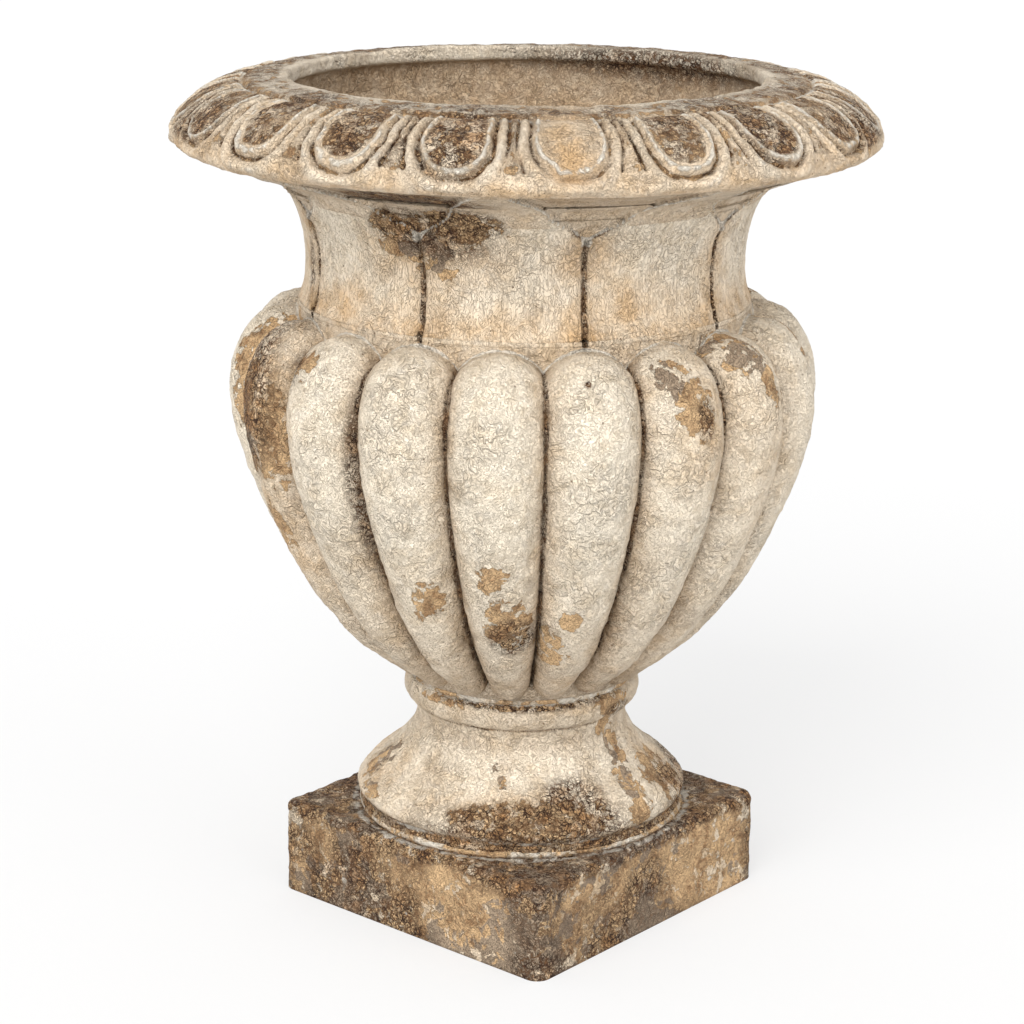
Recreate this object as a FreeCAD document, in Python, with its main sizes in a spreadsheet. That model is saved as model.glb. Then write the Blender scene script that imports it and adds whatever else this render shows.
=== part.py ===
import FreeCAD, Part
import math
import os

import Sketcher

# A classical garden urn in cast stone: a square plinth, a socle foot with a collar, a bowl of
# round lobes, a panelled neck and an egg-and-dart rim. The five castings are bedded on mortar,
# located by steel dowels, and drawn together by a hollow threaded tie that drains the bowl.
# +Z is up along the urn's axis, and the origin is the centre of the plinth's underside.

# Driving sizes, in millimetres and degrees.
SIZES = {
    # joints between castings
    "mortar_thickness": 3.0,
    "mortar_setback": 1.5,
    "dowel_radius": 4.0,
    "dowel_embedment": 12.0,
    "dowel_clearance": 0.3,
    "dowel_cover": 4.0,
    "dowel_count": 4.0,
    # plinth
    "plinth_side": 254.0,
    "plinth_height": 70.0,
    "plinth_corner_round": 10.0,
    "plinth_edge_round": 5.0,
    "nut_recess_radius": 30.0,
    "nut_recess_depth": 30.0,
    # foot
    "foot_height": 99.0,
    "foot_ring_radius": 120.0,
    "foot_ring_height": 7.0,
    "foot_crease_depth": 3.0,
    "foot_crease_bulge": 1.0,
    "foot_shoulder_radius": 122.0,
    "foot_shoulder_height": 12.0,
    "foot_shoulder_bulge": 1.75,
    "foot_turn_radius": 104.0,
    "foot_turn_height": 31.0,
    "foot_hollow_depth": 6.5,
    "foot_waist_radius": 77.0,
    "foot_waist_height": 76.0,
    "collar_bulge": 8.6,
    "collar_top_radius": 83.0,
    # bowl
    "bowl_height": 275.0,
    "bowl_wall": 18.0,
    "bowl_floor": 44.0,
    "bowl_floor_radius": 88.0,
    "bowl_side_bulge": 19.5,
    "bowl_shoulder_bulge": 10.3,
    "lobe_count": 18.0,
    "lobe_turn": 5.0,
    "lobe_tip_radius": 90.0,
    "belly_radius": 210.4,
    "belly_height": 215.0,
    "lobe_depth": 22.0,
    "lobe_margin": 3.0,
    "lobe_burial": 1.5,
    "groove_burial": 21.5,
    "side_roundness": 1.75,
    "side_fullness": 0.83,
    "shoulder_roundness": 2.3,
    "shoulder_fullness": 0.42,
    "groove_roundness": 1.7,
    "groove_fullness": 0.6,
    "sump_radius": 30.0,
    "sump_depth": 25.0,
    # neck
    "neck_height": 85.0,
    "neck_waist_radius": 156.0,
    "neck_waist_height": 31.0,
    "neck_flare_round": 90.0,
    "neck_wall": 24.0,
    "panel_count": 9.0,
    "panel_turn": 5.0,
    "seam_radius": 3.0,
    "arch_gusset_round": 30.0,
    "arch_gusset_depth": 8.0,
    # rim
    "rim_height": 69.0,
    "soffit_radius": 239.0,
    "soffit_rise": 21.0,
    "bead_projection": 7.4,
    "bead_height": 14.0,
    "bead_bulge": 4.7,
    "ovolo_run": 47.4,
    "ovolo_drop": 5.0,
    "ovolo_bulge": 6.7,
    "band_step": 3.0,
    "band_fall": 2.0,
    "lip_radius": 166.0,
    "lip_height": 10.0,
    "lip_undercut": 7.0,
    "throat_height": 36.0,
    "throat_hollow": 2.5,
    "egg_count": 20.0,
    "egg_turn": 11.6,
    "egg_rise": 0.8,
    "egg_swell": 7.2,
    "egg_channel": 3.2,
    "egg_border": 4.8,
    "egg_line_radius": 1.5,
    "socket_land": 18.6,
    "socket_depth": 2.5,
    "socket_swell": 4.4,
    "socket_clear": 3.0,
    "dart_width": 6.0,
    "dart_margin": 5.0,
    "dart_groove_width": 2.4,
    "dart_groove_depth": 2.5,
    "hoop_height": 34.0,
    "hoop_wire_radius": 5.0,
    "hoop_clearance": 0.3,
    # drain tie
    "tie_radius": 10.5,
    "tie_bore_radius": 7.5,
    "tie_clearance": 1.5,
    "tie_proud": 3.0,
    "thread_clearance": 0.05,
    "nut_flats": 32.0,
    "nut_height": 10.0,
    "washer_radius": 25.0,
    "washer_thickness": 3.0,
    "seal_radius": 25.0,
    "seal_thickness": 3.0,
}

# How near two levels lie to count as one.
HAIR = 0.01

# Rings that the lobed wall is lofted through, below its belly and above it.
RINGS_BELOW = 6
RINGS_ABOVE = 7
RING_CROWDING = 1.2

document = FreeCAD.newDocument("urn_planter")
sheet = document.addObject("Spreadsheet::Sheet", "sizes")
for row, (alias, number) in enumerate(SIZES.items(), start=1):
    sheet.set("A%d" % row, alias)
    sheet.set("B%d" % row, str(number))
    sheet.setAlias("B%d" % row, alias)
document.recompute()


class Size:
    """A number together with the sheet expression that gives it."""

    def __init__(self, number, text):
        self.number = number
        self.text = text

    def _with(self, sign, other, number):
        other_text = other.text if isinstance(other, Size) else repr(float(other or 0))
        return Size(number, "(%s %s %s)" % (self.text, sign, other_text))

    def __add__(self, other):
        return self._with("+", other, self.number + number_of(other))

    def __sub__(self, other):
        return self._with("-", other, self.number - number_of(other))

    def __mul__(self, other):
        return self._with("*", other, self.number * number_of(other))

    def __truediv__(self, other):
        return self._with("/", other, self.number / number_of(other))

    def __neg__(self):
        return Size(-self.number, "(0 - %s)" % self.text)


def number_of(value):
    """The plain number of a size, or of a bare number. None stands for 0."""
    return value.number if isinstance(value, Size) else float(value or 0)


def size(alias):
    return Size(float(sheet.get(alias)), "sizes.%s" % alias)


def root(value):
    return Size(math.sqrt(value.number), "sqrt(%s)" % value.text)


def cosine(degrees):
    return Size(math.cos(math.radians(degrees.number)), "cos(%s * 1deg)" % degrees.text)


def sine(degrees):
    return Size(math.sin(math.radians(degrees.number)), "sin(%s * 1deg)" % degrees.text)


def slope_angle(rise, run):
    """The angle whose tangent is rise over run, in degrees."""
    number = math.degrees(math.atan2(rise.number, run.number))
    return Size(number, "(atan(%s / %s) / 1deg)" % (rise.text, run.text))


def bind(owner, **expressions):
    """Sets properties to sheet expressions. Placement parts are given as at_x, at_y, at_z, turn."""
    paths = {
        "at_x": "Placement.Base.x",
        "at_y": "Placement.Base.y",
        "at_z": "Placement.Base.z",
        "turn": "Placement.Rotation.Angle",
    }
    for name, value in expressions.items():
        owner.setExpression(paths.get(name, name), value.text)


# Levels and radii that several castings share.
mortar = size("mortar_thickness")
plinth_top = size("plinth_height")
foot_base = plinth_top + mortar
foot_top = foot_base + size("foot_height")
bowl_base = foot_top + mortar
bowl_top = bowl_base + size("bowl_height")
neck_base = bowl_top + mortar
neck_top = neck_base + size("neck_height")
rim_base = neck_top + mortar


def neck_radius(height):
    """Outer radius of the neck's hollow round at a height above its base."""
    flare = size("neck_flare_round")
    rise = height - size("neck_waist_height")
    return size("neck_waist_radius") + flare - root(flare * flare - rise * rise)


def middle_of_neck_wall(joint, end):
    """Radius of an upright line in the middle of the wall, from a joint to a dowel's end."""
    return (neck_radius(joint) + neck_radius(end) - size("neck_wall")) / 2


neck_base_radius = neck_radius(size("neck_height") * 0)
neck_top_radius = neck_radius(size("neck_height"))
tie_hole_radius = size("tie_radius") + size("tie_clearance")
dowel_hole_radius = size("dowel_radius") + size("dowel_clearance")
throat_radius = size("lip_radius") + size("lip_undercut")
ovolo_foot_radius = size("soffit_radius") + size("bead_projection")
hoop_radius = (throat_radius + ovolo_foot_radius) / 2

# Each ring of dowels stands in the middle of the thinner wall that it joins.
dowel_depth = size("dowel_embedment")
dowel_inset = dowel_hole_radius + size("dowel_cover")
plinth_dowel_ring = size("foot_ring_radius") - size("foot_crease_depth") - dowel_inset
foot_dowel_ring = size("foot_waist_radius") - dowel_inset
bowl_dowel_ring = middle_of_neck_wall(mortar * 0, dowel_depth)
neck_dowel_ring = middle_of_neck_wall(size("neck_height"), size("neck_height") - dowel_depth)


def new_body(label, level, turn=None):
    """An empty body whose own base plane lies at the given level of the urn."""
    body = document.addObject("PartDesign::Body", label)
    body.Label = label
    bind(body, at_z=level)
    if turn is not None:
        body.Placement.Rotation = FreeCAD.Rotation(FreeCAD.Vector(0, 0, 1), turn.number)
        bind(body, turn=turn)
    return body


def sketch_on(body, role, label):
    plane = next(item for item in body.Origin.OriginFeatures if item.Role == role)
    sketch = body.newObject("Sketcher::SketchObject", label)
    sketch.AttachmentSupport = [(plane, "")]
    sketch.MapMode = "FlatFace"
    return sketch


def hold(sketch, constraint, value):
    """Adds a dimension to a sketch and ties it to the sheet."""
    index = sketch.addConstraint(constraint)
    sketch.setExpression("Constraints[%d]" % index, value.text)


def hold_point(sketch, edge, end, across, up):
    """Places one end of an edge, on an axis of the sketch where that distance is None."""
    for value, kind, axis in ((across, "DistanceX", -2), (up, "DistanceY", -1)):
        if value is None:
            sketch.addConstraint(Sketcher.Constraint("PointOnObject", edge, end, axis))
        else:
            place = Sketcher.Constraint(kind, -1, 1, edge, end, value.number)
            hold(sketch, place, value)


def draw_outline(sketch, corners):
    """Closed outline. A corner is (across, up), or (across, up, radius) where the edge that
    arrives there is an arc; a positive radius bulges to the right of the way it is drawn."""
    places = [
        FreeCAD.Vector(number_of(corner[0]), number_of(corner[1]), 0)
        for corner in corners
    ]
    joints = []
    for index, corner in enumerate(corners):
        start, finish = places[index - 1], places[index]
        forward = True
        if len(corner) == 2:
            edge = sketch.addGeometry(Part.LineSegment(start, finish))
        else:
            radius = corner[2]
            forward = radius.number > 0
            edge = sketch.addGeometry(arc_between(start, finish, radius.number))
            reach = Size(abs(radius.number), "abs(%s)" % radius.text)
            hold(sketch, Sketcher.Constraint("Radius", edge, reach.number), reach)
        joints.append((edge, 1 if forward else 2, 2 if forward else 1))
    for index, (edge, _, finish_end) in enumerate(joints):
        following, start_end, _ = joints[(index + 1) % len(joints)]
        sketch.addConstraint(
            Sketcher.Constraint("Coincident", edge, finish_end, following, start_end)
        )
        hold_point(sketch, edge, finish_end, corners[index][0], corners[index][1])


def bulged(corners):
    """Turns how far each arc stands out from its chord, the third value, into its radius."""
    made = []
    for index, corner in enumerate(corners):
        if len(corner) == 3:
            before = corners[index - 1]
            across, up, bulge = corner[0] - before[0], corner[1] - before[1], corner[2]
            radius = (across * across + up * up) / bulge / 8 + bulge / 2
            corner = (corner[0], corner[1], radius)
        made.append(corner)
    return made


def arc_between(start, finish, radius):
    """Arc of a circle that runs anticlockwise, which is backwards where the radius is negative."""
    if radius < 0:
        start, finish = finish, start
    chord = finish - start
    left = FreeCAD.Vector(-chord.y, chord.x, 0).normalize()
    centre = (start + finish) / 2 + left * math.sqrt(radius**2 - (chord.Length / 2) ** 2)
    circle = Part.Circle(centre, FreeCAD.Vector(0, 0, 1), abs(radius))
    return Part.ArcOfCircle(circle, angle_from(centre, start), angle_from(centre, finish))


def angle_from(centre, place):
    return math.atan2(place.y - centre.y, place.x - centre.x)


def draw_circle(sketch, radius, across=None, up=None):
    centre = FreeCAD.Vector(number_of(across), number_of(up), 0)
    normal = FreeCAD.Vector(0, 0, 1)
    edge = sketch.addGeometry(Part.Circle(centre, normal, radius.number))
    hold(sketch, Sketcher.Constraint("Radius", edge, radius.number), radius)
    if across is None and up is None:
        sketch.addConstraint(Sketcher.Constraint("Coincident", edge, 3, -1, 1))
    else:
        hold_point(sketch, edge, 3, across, up)


def revolve(body, label, corners, kind="PartDesign::Revolution"):
    """Turns an outline of (radius, height) corners about the body's own Z axis."""
    sketch = sketch_on(body, "XZ_Plane", label + "_outline")
    draw_outline(sketch, corners)
    feature = body.newObject(kind, label)
    feature.Profile = sketch
    feature.ReferenceAxis = (sketch, ["V_Axis"])
    feature.Angle = 360
    return feature


def spin_about(body, sketch, label, start, finish, kind):
    """Turns the sketch's closed outline about a line drawn in the sketch."""
    ends = [FreeCAD.Vector(*map(number_of, place), 0) for place in (start, finish)]
    line = sketch.addGeometry(Part.LineSegment(*ends), True)
    for end, place in ((1, start), (2, finish)):
        hold_point(sketch, line, end, *place)
    feature = body.newObject(kind, label)
    feature.Profile = sketch
    feature.ReferenceAxis = (sketch, ["Axis0"])
    feature.Angle = 360
    return feature


def pad(body, sketch, label, length):
    feature = body.newObject("PartDesign::Pad", label)
    feature.Profile = sketch
    bind(feature, Length=length)
    return feature


def pocket(body, sketch, label, depth, upward):
    """Cuts from the sketch's plane, up into the body or down into it."""
    feature = body.newObject("PartDesign::Pocket", label)
    feature.Profile = sketch
    feature.Reversed = upward
    bind(feature, Length=depth)
    return feature


def repeat_round(body, features, label, count):
    """Repeats features evenly about the body's Z axis."""
    axis = next(item for item in body.Origin.OriginFeatures if item.Role == "Z_Axis")
    pattern = body.newObject("PartDesign::PolarPattern", label)
    pattern.Originals = features
    pattern.Axis = (axis, [""])
    pattern.Angle = 360
    bind(pattern, Occurrences=count)
    body.Tip = pattern
    return pattern


def dowel_holes(body, label, ring, face=None, depth=None, turn=None):
    """A ring of blind holes: up from the body's base, or down from a face above it."""
    sketch = sketch_on(body, "XY_Plane", label + "_circle")
    if face is not None:
        sketch.setExpression("AttachmentOffset.Base.z", face.text)
    if turn is None:
        draw_circle(sketch, dowel_hole_radius, across=ring)
    else:
        draw_circle(sketch, dowel_hole_radius, ring * cosine(turn), -(ring * sine(turn)))
    hole = pocket(body, sketch, label + "_first", depth or dowel_depth, upward=face is None)
    repeat_round(body, [hole], label, size("dowel_count"))


def make_plinth():
    """Square slab with rounded corners, a hole for the tie and a recess for its lower nut."""
    body = new_body("plinth", Size(0, "0"))
    sketch = sketch_on(body, "XY_Plane", "plinth_square")
    half = size("plinth_side") / 2
    draw_outline(sketch, [(-half, -half), (half, -half), (half, half), (-half, half)])
    slab = pad(body, sketch, "plinth_slab", size("plinth_height"))
    document.recompute()

    corners = body.newObject("PartDesign::Fillet", "plinth_corners")
    corners.Base = (slab, edges_where(slab, lambda box: box.ZLength > HAIR))
    bind(corners, Radius=size("plinth_corner_round"))
    document.recompute()

    level = size("plinth_height").number
    edge = body.newObject("PartDesign::Fillet", "plinth_top_edge")
    edge.Base = (corners, edges_where(corners, lambda box: box.ZMin > level - HAIR))
    bind(edge, Radius=size("plinth_edge_round"))
    document.recompute()

    recess = sketch_on(body, "XY_Plane", "nut_recess_circle")
    draw_circle(recess, size("nut_recess_radius"))
    pocket(body, recess, "nut_recess", size("nut_recess_depth"), upward=True)
    hole = sketch_on(body, "XY_Plane", "plinth_tie_hole_circle")
    draw_circle(hole, tie_hole_radius)
    pocket(body, hole, "plinth_tie_hole", size("plinth_height"), upward=True)
    dowel_holes(body, "plinth_dowel_holes", plinth_dowel_ring, face=size("plinth_height"))
    return body


def edges_where(feature, wanted):
    """Names of a feature's edges whose bounding box passes a test."""
    return [
        "Edge%d" % index
        for index, edge in enumerate(feature.Shape.Edges, start=1)
        if wanted(edge.BoundBox)
    ]


def make_foot():
    """Socle: fillet ring, crease, round shoulder, hollow flank, and the collar under the bowl."""
    body = new_body("foot", foot_base)
    crease = size("foot_ring_height")
    crease_radius = size("foot_ring_radius") - size("foot_crease_depth")
    shoulder = (size("foot_shoulder_radius"), size("foot_shoulder_height"))
    turn = (size("foot_turn_radius"), size("foot_turn_height"))
    waist = (size("foot_waist_radius"), size("foot_waist_height"))
    revolve(
        body,
        "foot_turning",
        bulged(
            [
                (tie_hole_radius, None),
                (size("foot_ring_radius"), None),
                (size("foot_ring_radius"), crease - size("foot_crease_depth") / 2),
                (crease_radius, crease),
                (*shoulder, size("foot_crease_bulge")),
                (*turn, size("foot_shoulder_bulge")),
                (*waist, -size("foot_hollow_depth")),
                (size("collar_top_radius"), size("foot_height"), size("collar_bulge")),
                (tie_hole_radius, size("foot_height")),
            ]
        ),
    )
    dowel_holes(body, "foot_lower_dowel_holes", plinth_dowel_ring)
    dowel_holes(body, "foot_upper_dowel_holes", foot_dowel_ring, face=size("foot_height"))
    return body


def lobe_radii(height):
    """Radii of the lobes' crests and of the grooves between them, above the bowl's base."""
    belly = size("belly_radius").number
    belly_height = size("belly_height").number
    depth = size("lobe_depth").number
    if height <= belly_height:
        tip = size("lobe_tip_radius").number
        fall = (belly_height - height) / belly_height
        drawn_in = 1 - fall ** size("side_roundness").number
        crest = tip + (belly - tip) * drawn_in ** size("side_fullness").number
        return crest, crest * (1 - depth / belly)
    seat = neck_base_radius.number
    rise = (height - belly_height) / (lobes_top() - belly_height)
    crest = rounded_in(rise, belly, seat - size("lobe_burial").number, "shoulder")
    groove = rounded_in(rise, belly - depth, seat - size("groove_burial").number, "groove")
    return crest, groove


def rounded_in(rise, widest, buried, line):
    """Radius of the crest or the groove as it rounds in from the belly to inside the seat."""
    left = 1 - min(1, rise) ** size(line + "_roundness").number
    return buried + (widest - buried) * left ** size(line + "_fullness").number


def lobes_top():
    """The lobes close inside the seat that carries the neck, a little below its top."""
    return size("bowl_height").number - size("lobe_margin").number


def lobe_ring(height):
    """One level of the lobed wall: an arc for each lobe, meeting its neighbours in grooves."""
    crest, groove = lobe_radii(height)
    count = int(size("lobe_count").number)
    step = 2 * math.pi / count

    def point(radius, steps):
        angle = step * steps
        return FreeCAD.Vector(radius * math.cos(angle), radius * math.sin(angle), height)

    arcs = [
        Part.Arc(point(groove, lobe - 0.5), point(crest, lobe), point(groove, lobe + 0.5))
        for lobe in range(count)
    ]
    return Part.Wire([arc.toShape() for arc in arcs])


def make_lobes():
    """The outside of the bowl's lobes, lofted through rings that crowd towards the shoulder."""
    belly_height = size("belly_height").number
    above = lobes_top() - belly_height
    quarter = math.pi / 2
    heights = []
    for ring in range(RINGS_BELOW + 1):
        left = math.cos(quarter * ring / RINGS_BELOW) ** RING_CROWDING
        heights.append(belly_height * (1 - left))
    for ring in range(1, RINGS_ABOVE + 1):
        heights.append(belly_height + above * math.sin(quarter * ring / RINGS_ABOVE))
    loft = Part.makeLoft([lobe_ring(height) for height in heights], True, False)
    lobes = document.addObject("Part::Feature", "bowl_lobes")
    lobes.Shape = loft
    return lobes


def make_bowl():
    """Lobed shell with a flat seat for the neck, a thick floor and a sump round the drain."""
    body = new_body("bowl", bowl_base, turn=size("lobe_turn"))
    body.BaseFeature = make_lobes()
    belly = size("belly_height")
    height = size("bowl_height")
    floor = size("bowl_floor")
    sump = floor - size("sump_depth")
    inner_belly = size("belly_radius") - size("lobe_depth") - size("bowl_wall")
    inner_top = neck_base_radius - size("neck_wall")
    revolve(
        body,
        "neck_seat",
        [
            (inner_top, belly),
            (neck_base_radius, belly),
            (neck_base_radius, height),
            (inner_top, height),
        ],
    )
    revolve(
        body,
        "bowl_inside",
        bulged(
            [
                (None, None),
                (tie_hole_radius, None),
                (tie_hole_radius, sump),
                (size("sump_radius"), sump),
                (size("sump_radius"), floor),
                (size("bowl_floor_radius"), floor),
                (inner_belly, belly, size("bowl_side_bulge")),
                (inner_top, height, size("bowl_shoulder_bulge")),
                (None, height),
            ]
        ),
        kind="PartDesign::Groove",
    )
    away = size("lobe_turn")
    dowel_holes(body, "bowl_lower_dowel_holes", foot_dowel_ring, turn=away)
    dowel_holes(body, "bowl_upper_dowel_holes", bowl_dowel_ring, face=height, turn=away)
    return body


def make_neck():
    """Flared drum in tall panels: a round seam between panels, opening under the rim."""
    body = new_body("neck", neck_base, turn=size("panel_turn"))
    flare = size("neck_flare_round")
    wall = size("neck_wall")
    height = size("neck_height")
    waist = size("neck_waist_radius")
    waist_height = size("neck_waist_height")
    revolve(
        body,
        "neck_turning",
        [
            (neck_base_radius - wall, None, flare),
            (neck_base_radius, None),
            (waist, waist_height, -flare),
            (neck_top_radius, height, -flare),
            (neck_top_radius - wall, height),
            (waist - wall, waist_height, flare),
        ],
    )
    document.recompute()
    sketch = sketch_on(body, "XY_Plane", "neck_seam_circle")
    sketch.setExpression("AttachmentOffset.Base.z", waist_height.text)
    draw_circle(sketch, size("seam_radius"), across=waist)
    axis = waist + flare
    seam = spin_about(
        body, sketch, "neck_seam", (axis, None), (axis, flare), "PartDesign::Groove"
    )
    notch = sketch_on(body, "XY_Plane", "arch_gusset_circle")
    notch.setExpression("AttachmentOffset.Base.z", height.text)
    gusset_round = size("arch_gusset_round")
    centre = neck_top_radius + gusset_round - size("arch_gusset_depth")
    draw_circle(notch, gusset_round, across=centre)
    gusset = pocket(body, notch, "arch_gusset", height - waist_height, upward=False)
    repeat_round(body, [seam, gusset], "neck_seams", size("panel_count"))
    away = size("panel_turn")
    dowel_holes(body, "neck_lower_dowel_holes", bowl_dowel_ring, turn=away)
    dowel_holes(body, "neck_upper_dowel_holes", neck_dowel_ring, face=height, turn=away)
    return body


def make_rim():
    """Overhanging crown: soffit, bead, egg-and-dart ovolo, flat band and an undercut lip."""
    body = new_body("rim", rim_base, turn=size("egg_turn"))
    height = size("rim_height")
    lip = size("lip_radius")
    throat_foot = neck_top_radius - size("neck_wall")
    ledge = height - size("lip_height")
    foot = (ovolo_foot_radius, size("soffit_rise") + size("bead_height"))
    top = (ovolo_foot_radius - size("ovolo_run"), height - size("ovolo_drop"))
    revolve(
        body,
        "rim_turning",
        bulged(
            [
                (throat_foot, None),
                (neck_top_radius, None),
                (size("soffit_radius"), size("soffit_rise")),
                (*foot, size("bead_bulge")),
                (*top, size("ovolo_bulge")),
                (top[0] - size("band_step"), height - size("band_fall")),
                (lip, height),
                (lip, ledge),
                (throat_radius, ledge - size("band_fall")),
                (throat_radius, size("throat_height")),
                (throat_foot, dowel_depth + size("dowel_cover"), -size("throat_hollow")),
            ]
        ),
    )
    channel = sketch_on(body, "XZ_Plane", "hoop_channel_circle")
    channel_radius = size("hoop_wire_radius") + size("hoop_clearance")
    draw_circle(channel, channel_radius, hoop_radius, size("hoop_height"))
    groove = body.newObject("PartDesign::Groove", "hoop_channel")
    groove.Profile = channel
    groove.ReferenceAxis = (channel, ["V_Axis"])
    groove.Angle = 360
    document.recompute()
    carve_eggs(body, foot, top)
    away = size("egg_turn")
    dowel_holes(body, "rim_dowel_holes", neck_dowel_ring, turn=away)
    return body


def ball_radius(half, swell):
    """Radius of a ball whose slice is as wide as twice the half and stands out by the swell."""
    return half * half / swell / 2 + swell / 2


def carve_eggs(body, foot, top):
    """Bordered eggs in round sockets, with darts between them, repeated round the ovolo."""
    run, rise = foot[0] - top[0], top[1] - foot[1]
    tilt = slope_angle(rise, run)
    middle_radius = foot[0] - run / 2
    pitch = middle_radius * (2 * math.pi) / size("egg_count")
    socket_half = (pitch - size("socket_land")) / 2
    egg_half = socket_half - size("egg_channel")
    egg_ball = ball_radius(egg_half, size("egg_swell"))
    centre = size("egg_count") * 0
    clear = size("socket_clear")

    def at(along, proud):
        """A place measured from the middle of the ovolo, down its face and out from it."""
        reach = size("ovolo_bulge") + proud
        across = middle_radius + reach * sine(tilt) + along * cosine(tilt)
        up = foot[1] + rise / 2 + reach * cosine(tilt) - along * sine(tilt)
        return across, up

    floor = -size("socket_depth")
    edge = floor - size("socket_swell")
    inner, outer = at(centre, edge - clear), at(centre, clear)
    hollow = sketch_on(body, "XZ_Plane", "egg_socket_outline")
    hollow_ball = ball_radius(socket_half, size("socket_swell"))
    bottom = (*at(centre, floor), hollow_ball)
    draw_outline(hollow, [outer, at(socket_half, clear), at(socket_half, edge), bottom])
    socket = spin_about(body, hollow, "egg_socket", inner, outer, "PartDesign::Groove")

    dome = sketch_on(body, "XZ_Plane", "egg_outline")
    crown = at(centre, size("egg_rise"))
    side = at(egg_half, size("egg_rise") - size("egg_swell"))
    draw_outline(dome, [inner, crown, (*side, -egg_ball), at(egg_half, edge - clear)])
    egg = spin_about(body, dome, "egg", inner, crown, "PartDesign::Revolution")

    line = sketch_on(body, "XZ_Plane", "egg_line_circle")
    line_half = egg_half - size("egg_border")
    line_fall = egg_ball - root(egg_ball * egg_ball - line_half * line_half)
    draw_circle(line, size("egg_line_radius"), *at(line_half, size("egg_rise") - line_fall))
    border = spin_about(body, line, "egg_line", inner, crown, "PartDesign::Groove")

    to_dart = Size(180.0, "180") / size("egg_count")
    to_degrees = Size(math.degrees(1), "(180 / pi)") / middle_radius
    away = (size("dart_width") + size("dart_groove_width")) / 2 * to_degrees
    grooves = [
        dart_groove(body, at, (run, rise), turn, size("dart_groove_width") * to_degrees)
        for turn in (to_dart - away, to_dart + away)
    ]
    repeat_round(body, [socket, egg, border, *grooves], "eggs", size("egg_count"))


def dart_groove(body, at, ovolo, turn, width):
    """A narrow groove down the ovolo beside a dart. Its turn and its width are angles."""
    run, rise = ovolo
    length = root(run * run + rise * rise)
    ball = ball_radius(length / 2, size("ovolo_bulge"))
    half = length / 2 - size("dart_margin")
    fall = ball - root(ball * ball - half * half)
    clear, floor = size("socket_clear"), -fall - size("dart_groove_depth")
    sketch = sketch_on(body, "XZ_Plane", "dart_groove_outline")
    corners = [at(half, clear), at(-half, clear), at(-half, floor), (*at(half, floor), -fall)]
    draw_outline(sketch, bulged(corners))
    axis = FreeCAD.Vector(0, 1, 0)
    turned = FreeCAD.Rotation(axis, turn.number)
    sketch.AttachmentOffset = FreeCAD.Placement(FreeCAD.Vector(), turned)
    sketch.setExpression("AttachmentOffset.Rotation.Angle", turn.text)
    groove = body.newObject("PartDesign::Groove", "dart_groove")
    groove.Profile = sketch
    groove.ReferenceAxis = (sketch, ["V_Axis"])
    groove.Midplane = True
    bind(groove, Angle=width)
    return groove


def make_mortar(label, level, outer, inner, ring):
    """A bed of mortar between two castings, with holes where the dowels pass."""
    body = new_body(label, level)
    sketch = sketch_on(body, "XY_Plane", label + "_circles")
    draw_circle(sketch, outer)
    draw_circle(sketch, inner)
    pad(body, sketch, label + "_layer", mortar)
    dowel_holes(body, label + "_dowel_holes", ring, depth=mortar)
    return body


def make_ring(label, level, outer, inner, thickness):
    """A plain ring: a washer, a seal or a length of tube."""
    body = new_body(label, level)
    sketch = sketch_on(body, "XY_Plane", label + "_circles")
    draw_circle(sketch, outer)
    draw_circle(sketch, inner)
    pad(body, sketch, label + "_length", thickness)
    return body


def make_nut(label, level):
    """Hexagon nut."""
    body = document.addObject("Part::Prism", label + "_hexagon")
    body.Polygon = 6
    bind(body, Circumradius=size("nut_flats") / math.sqrt(3), Height=size("nut_height"))
    bore = document.addObject("Part::Cylinder", label + "_bore")
    bind(bore, Radius=size("tie_radius") + size("thread_clearance"), Height=size("nut_height"))
    nut = document.addObject("Part::Cut", label)
    nut.Label = label
    nut.Base = body
    nut.Tool = bore
    bind(nut, at_z=level)
    return nut


def make_dowels(label, joint_level, ring):
    """Steel dowels across one mortar bed, each reaching the ends of its two holes."""
    length = dowel_depth * 2 + mortar
    pins = []
    for number in range(int(size("dowel_count").number)):
        pin = document.addObject("Part::Cylinder", "%s_%d" % (label, number + 1))
        angle = Size(360.0, "360") / size("dowel_count") * number
        bind(pin, Radius=size("dowel_radius"), Height=length)
        bind(pin, at_x=ring * cosine(angle), at_y=ring * sine(angle))
        pins.append(pin)
    group = document.addObject("Part::Compound", label)
    group.Label = label
    group.Links = pins
    bind(group, at_z=joint_level - dowel_depth)
    return group


def make_hoop():
    """Reinforcing hoop cast into the overhanging rim."""
    hoop = document.addObject("Part::Torus", "rim_hoop")
    hoop.Label = "rim_hoop"
    bind(hoop, Radius1=hoop_radius, Radius2=size("hoop_wire_radius"))
    bind(hoop, at_z=rim_base + size("hoop_height"))
    return hoop


def make_tie():
    """Hollow threaded tie with a nut and washer at each end, and a seal under the upper one."""
    recess = size("nut_recess_depth")
    sump = bowl_base + size("bowl_floor") - size("sump_depth")
    low_nut = recess - size("washer_thickness") - size("nut_height")
    upper_washer = sump + size("seal_thickness")
    high_nut = upper_washer + size("washer_thickness")
    bottom = low_nut - size("tie_proud")
    top = high_nut + size("nut_height") + size("tie_proud")
    hole = tie_hole_radius
    washer = size("washer_thickness")
    return [
        make_ring("drain_tie", bottom, size("tie_radius"), size("tie_bore_radius"), top - bottom),
        make_ring("lower_washer", recess - washer, size("washer_radius"), hole, washer),
        make_nut("lower_nut", low_nut),
        make_ring("drain_seal", sump, size("seal_radius"), hole, size("seal_thickness")),
        make_ring("upper_washer", upper_washer, size("washer_radius"), hole, washer),
        make_nut("upper_nut", high_nut),
    ]


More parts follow.
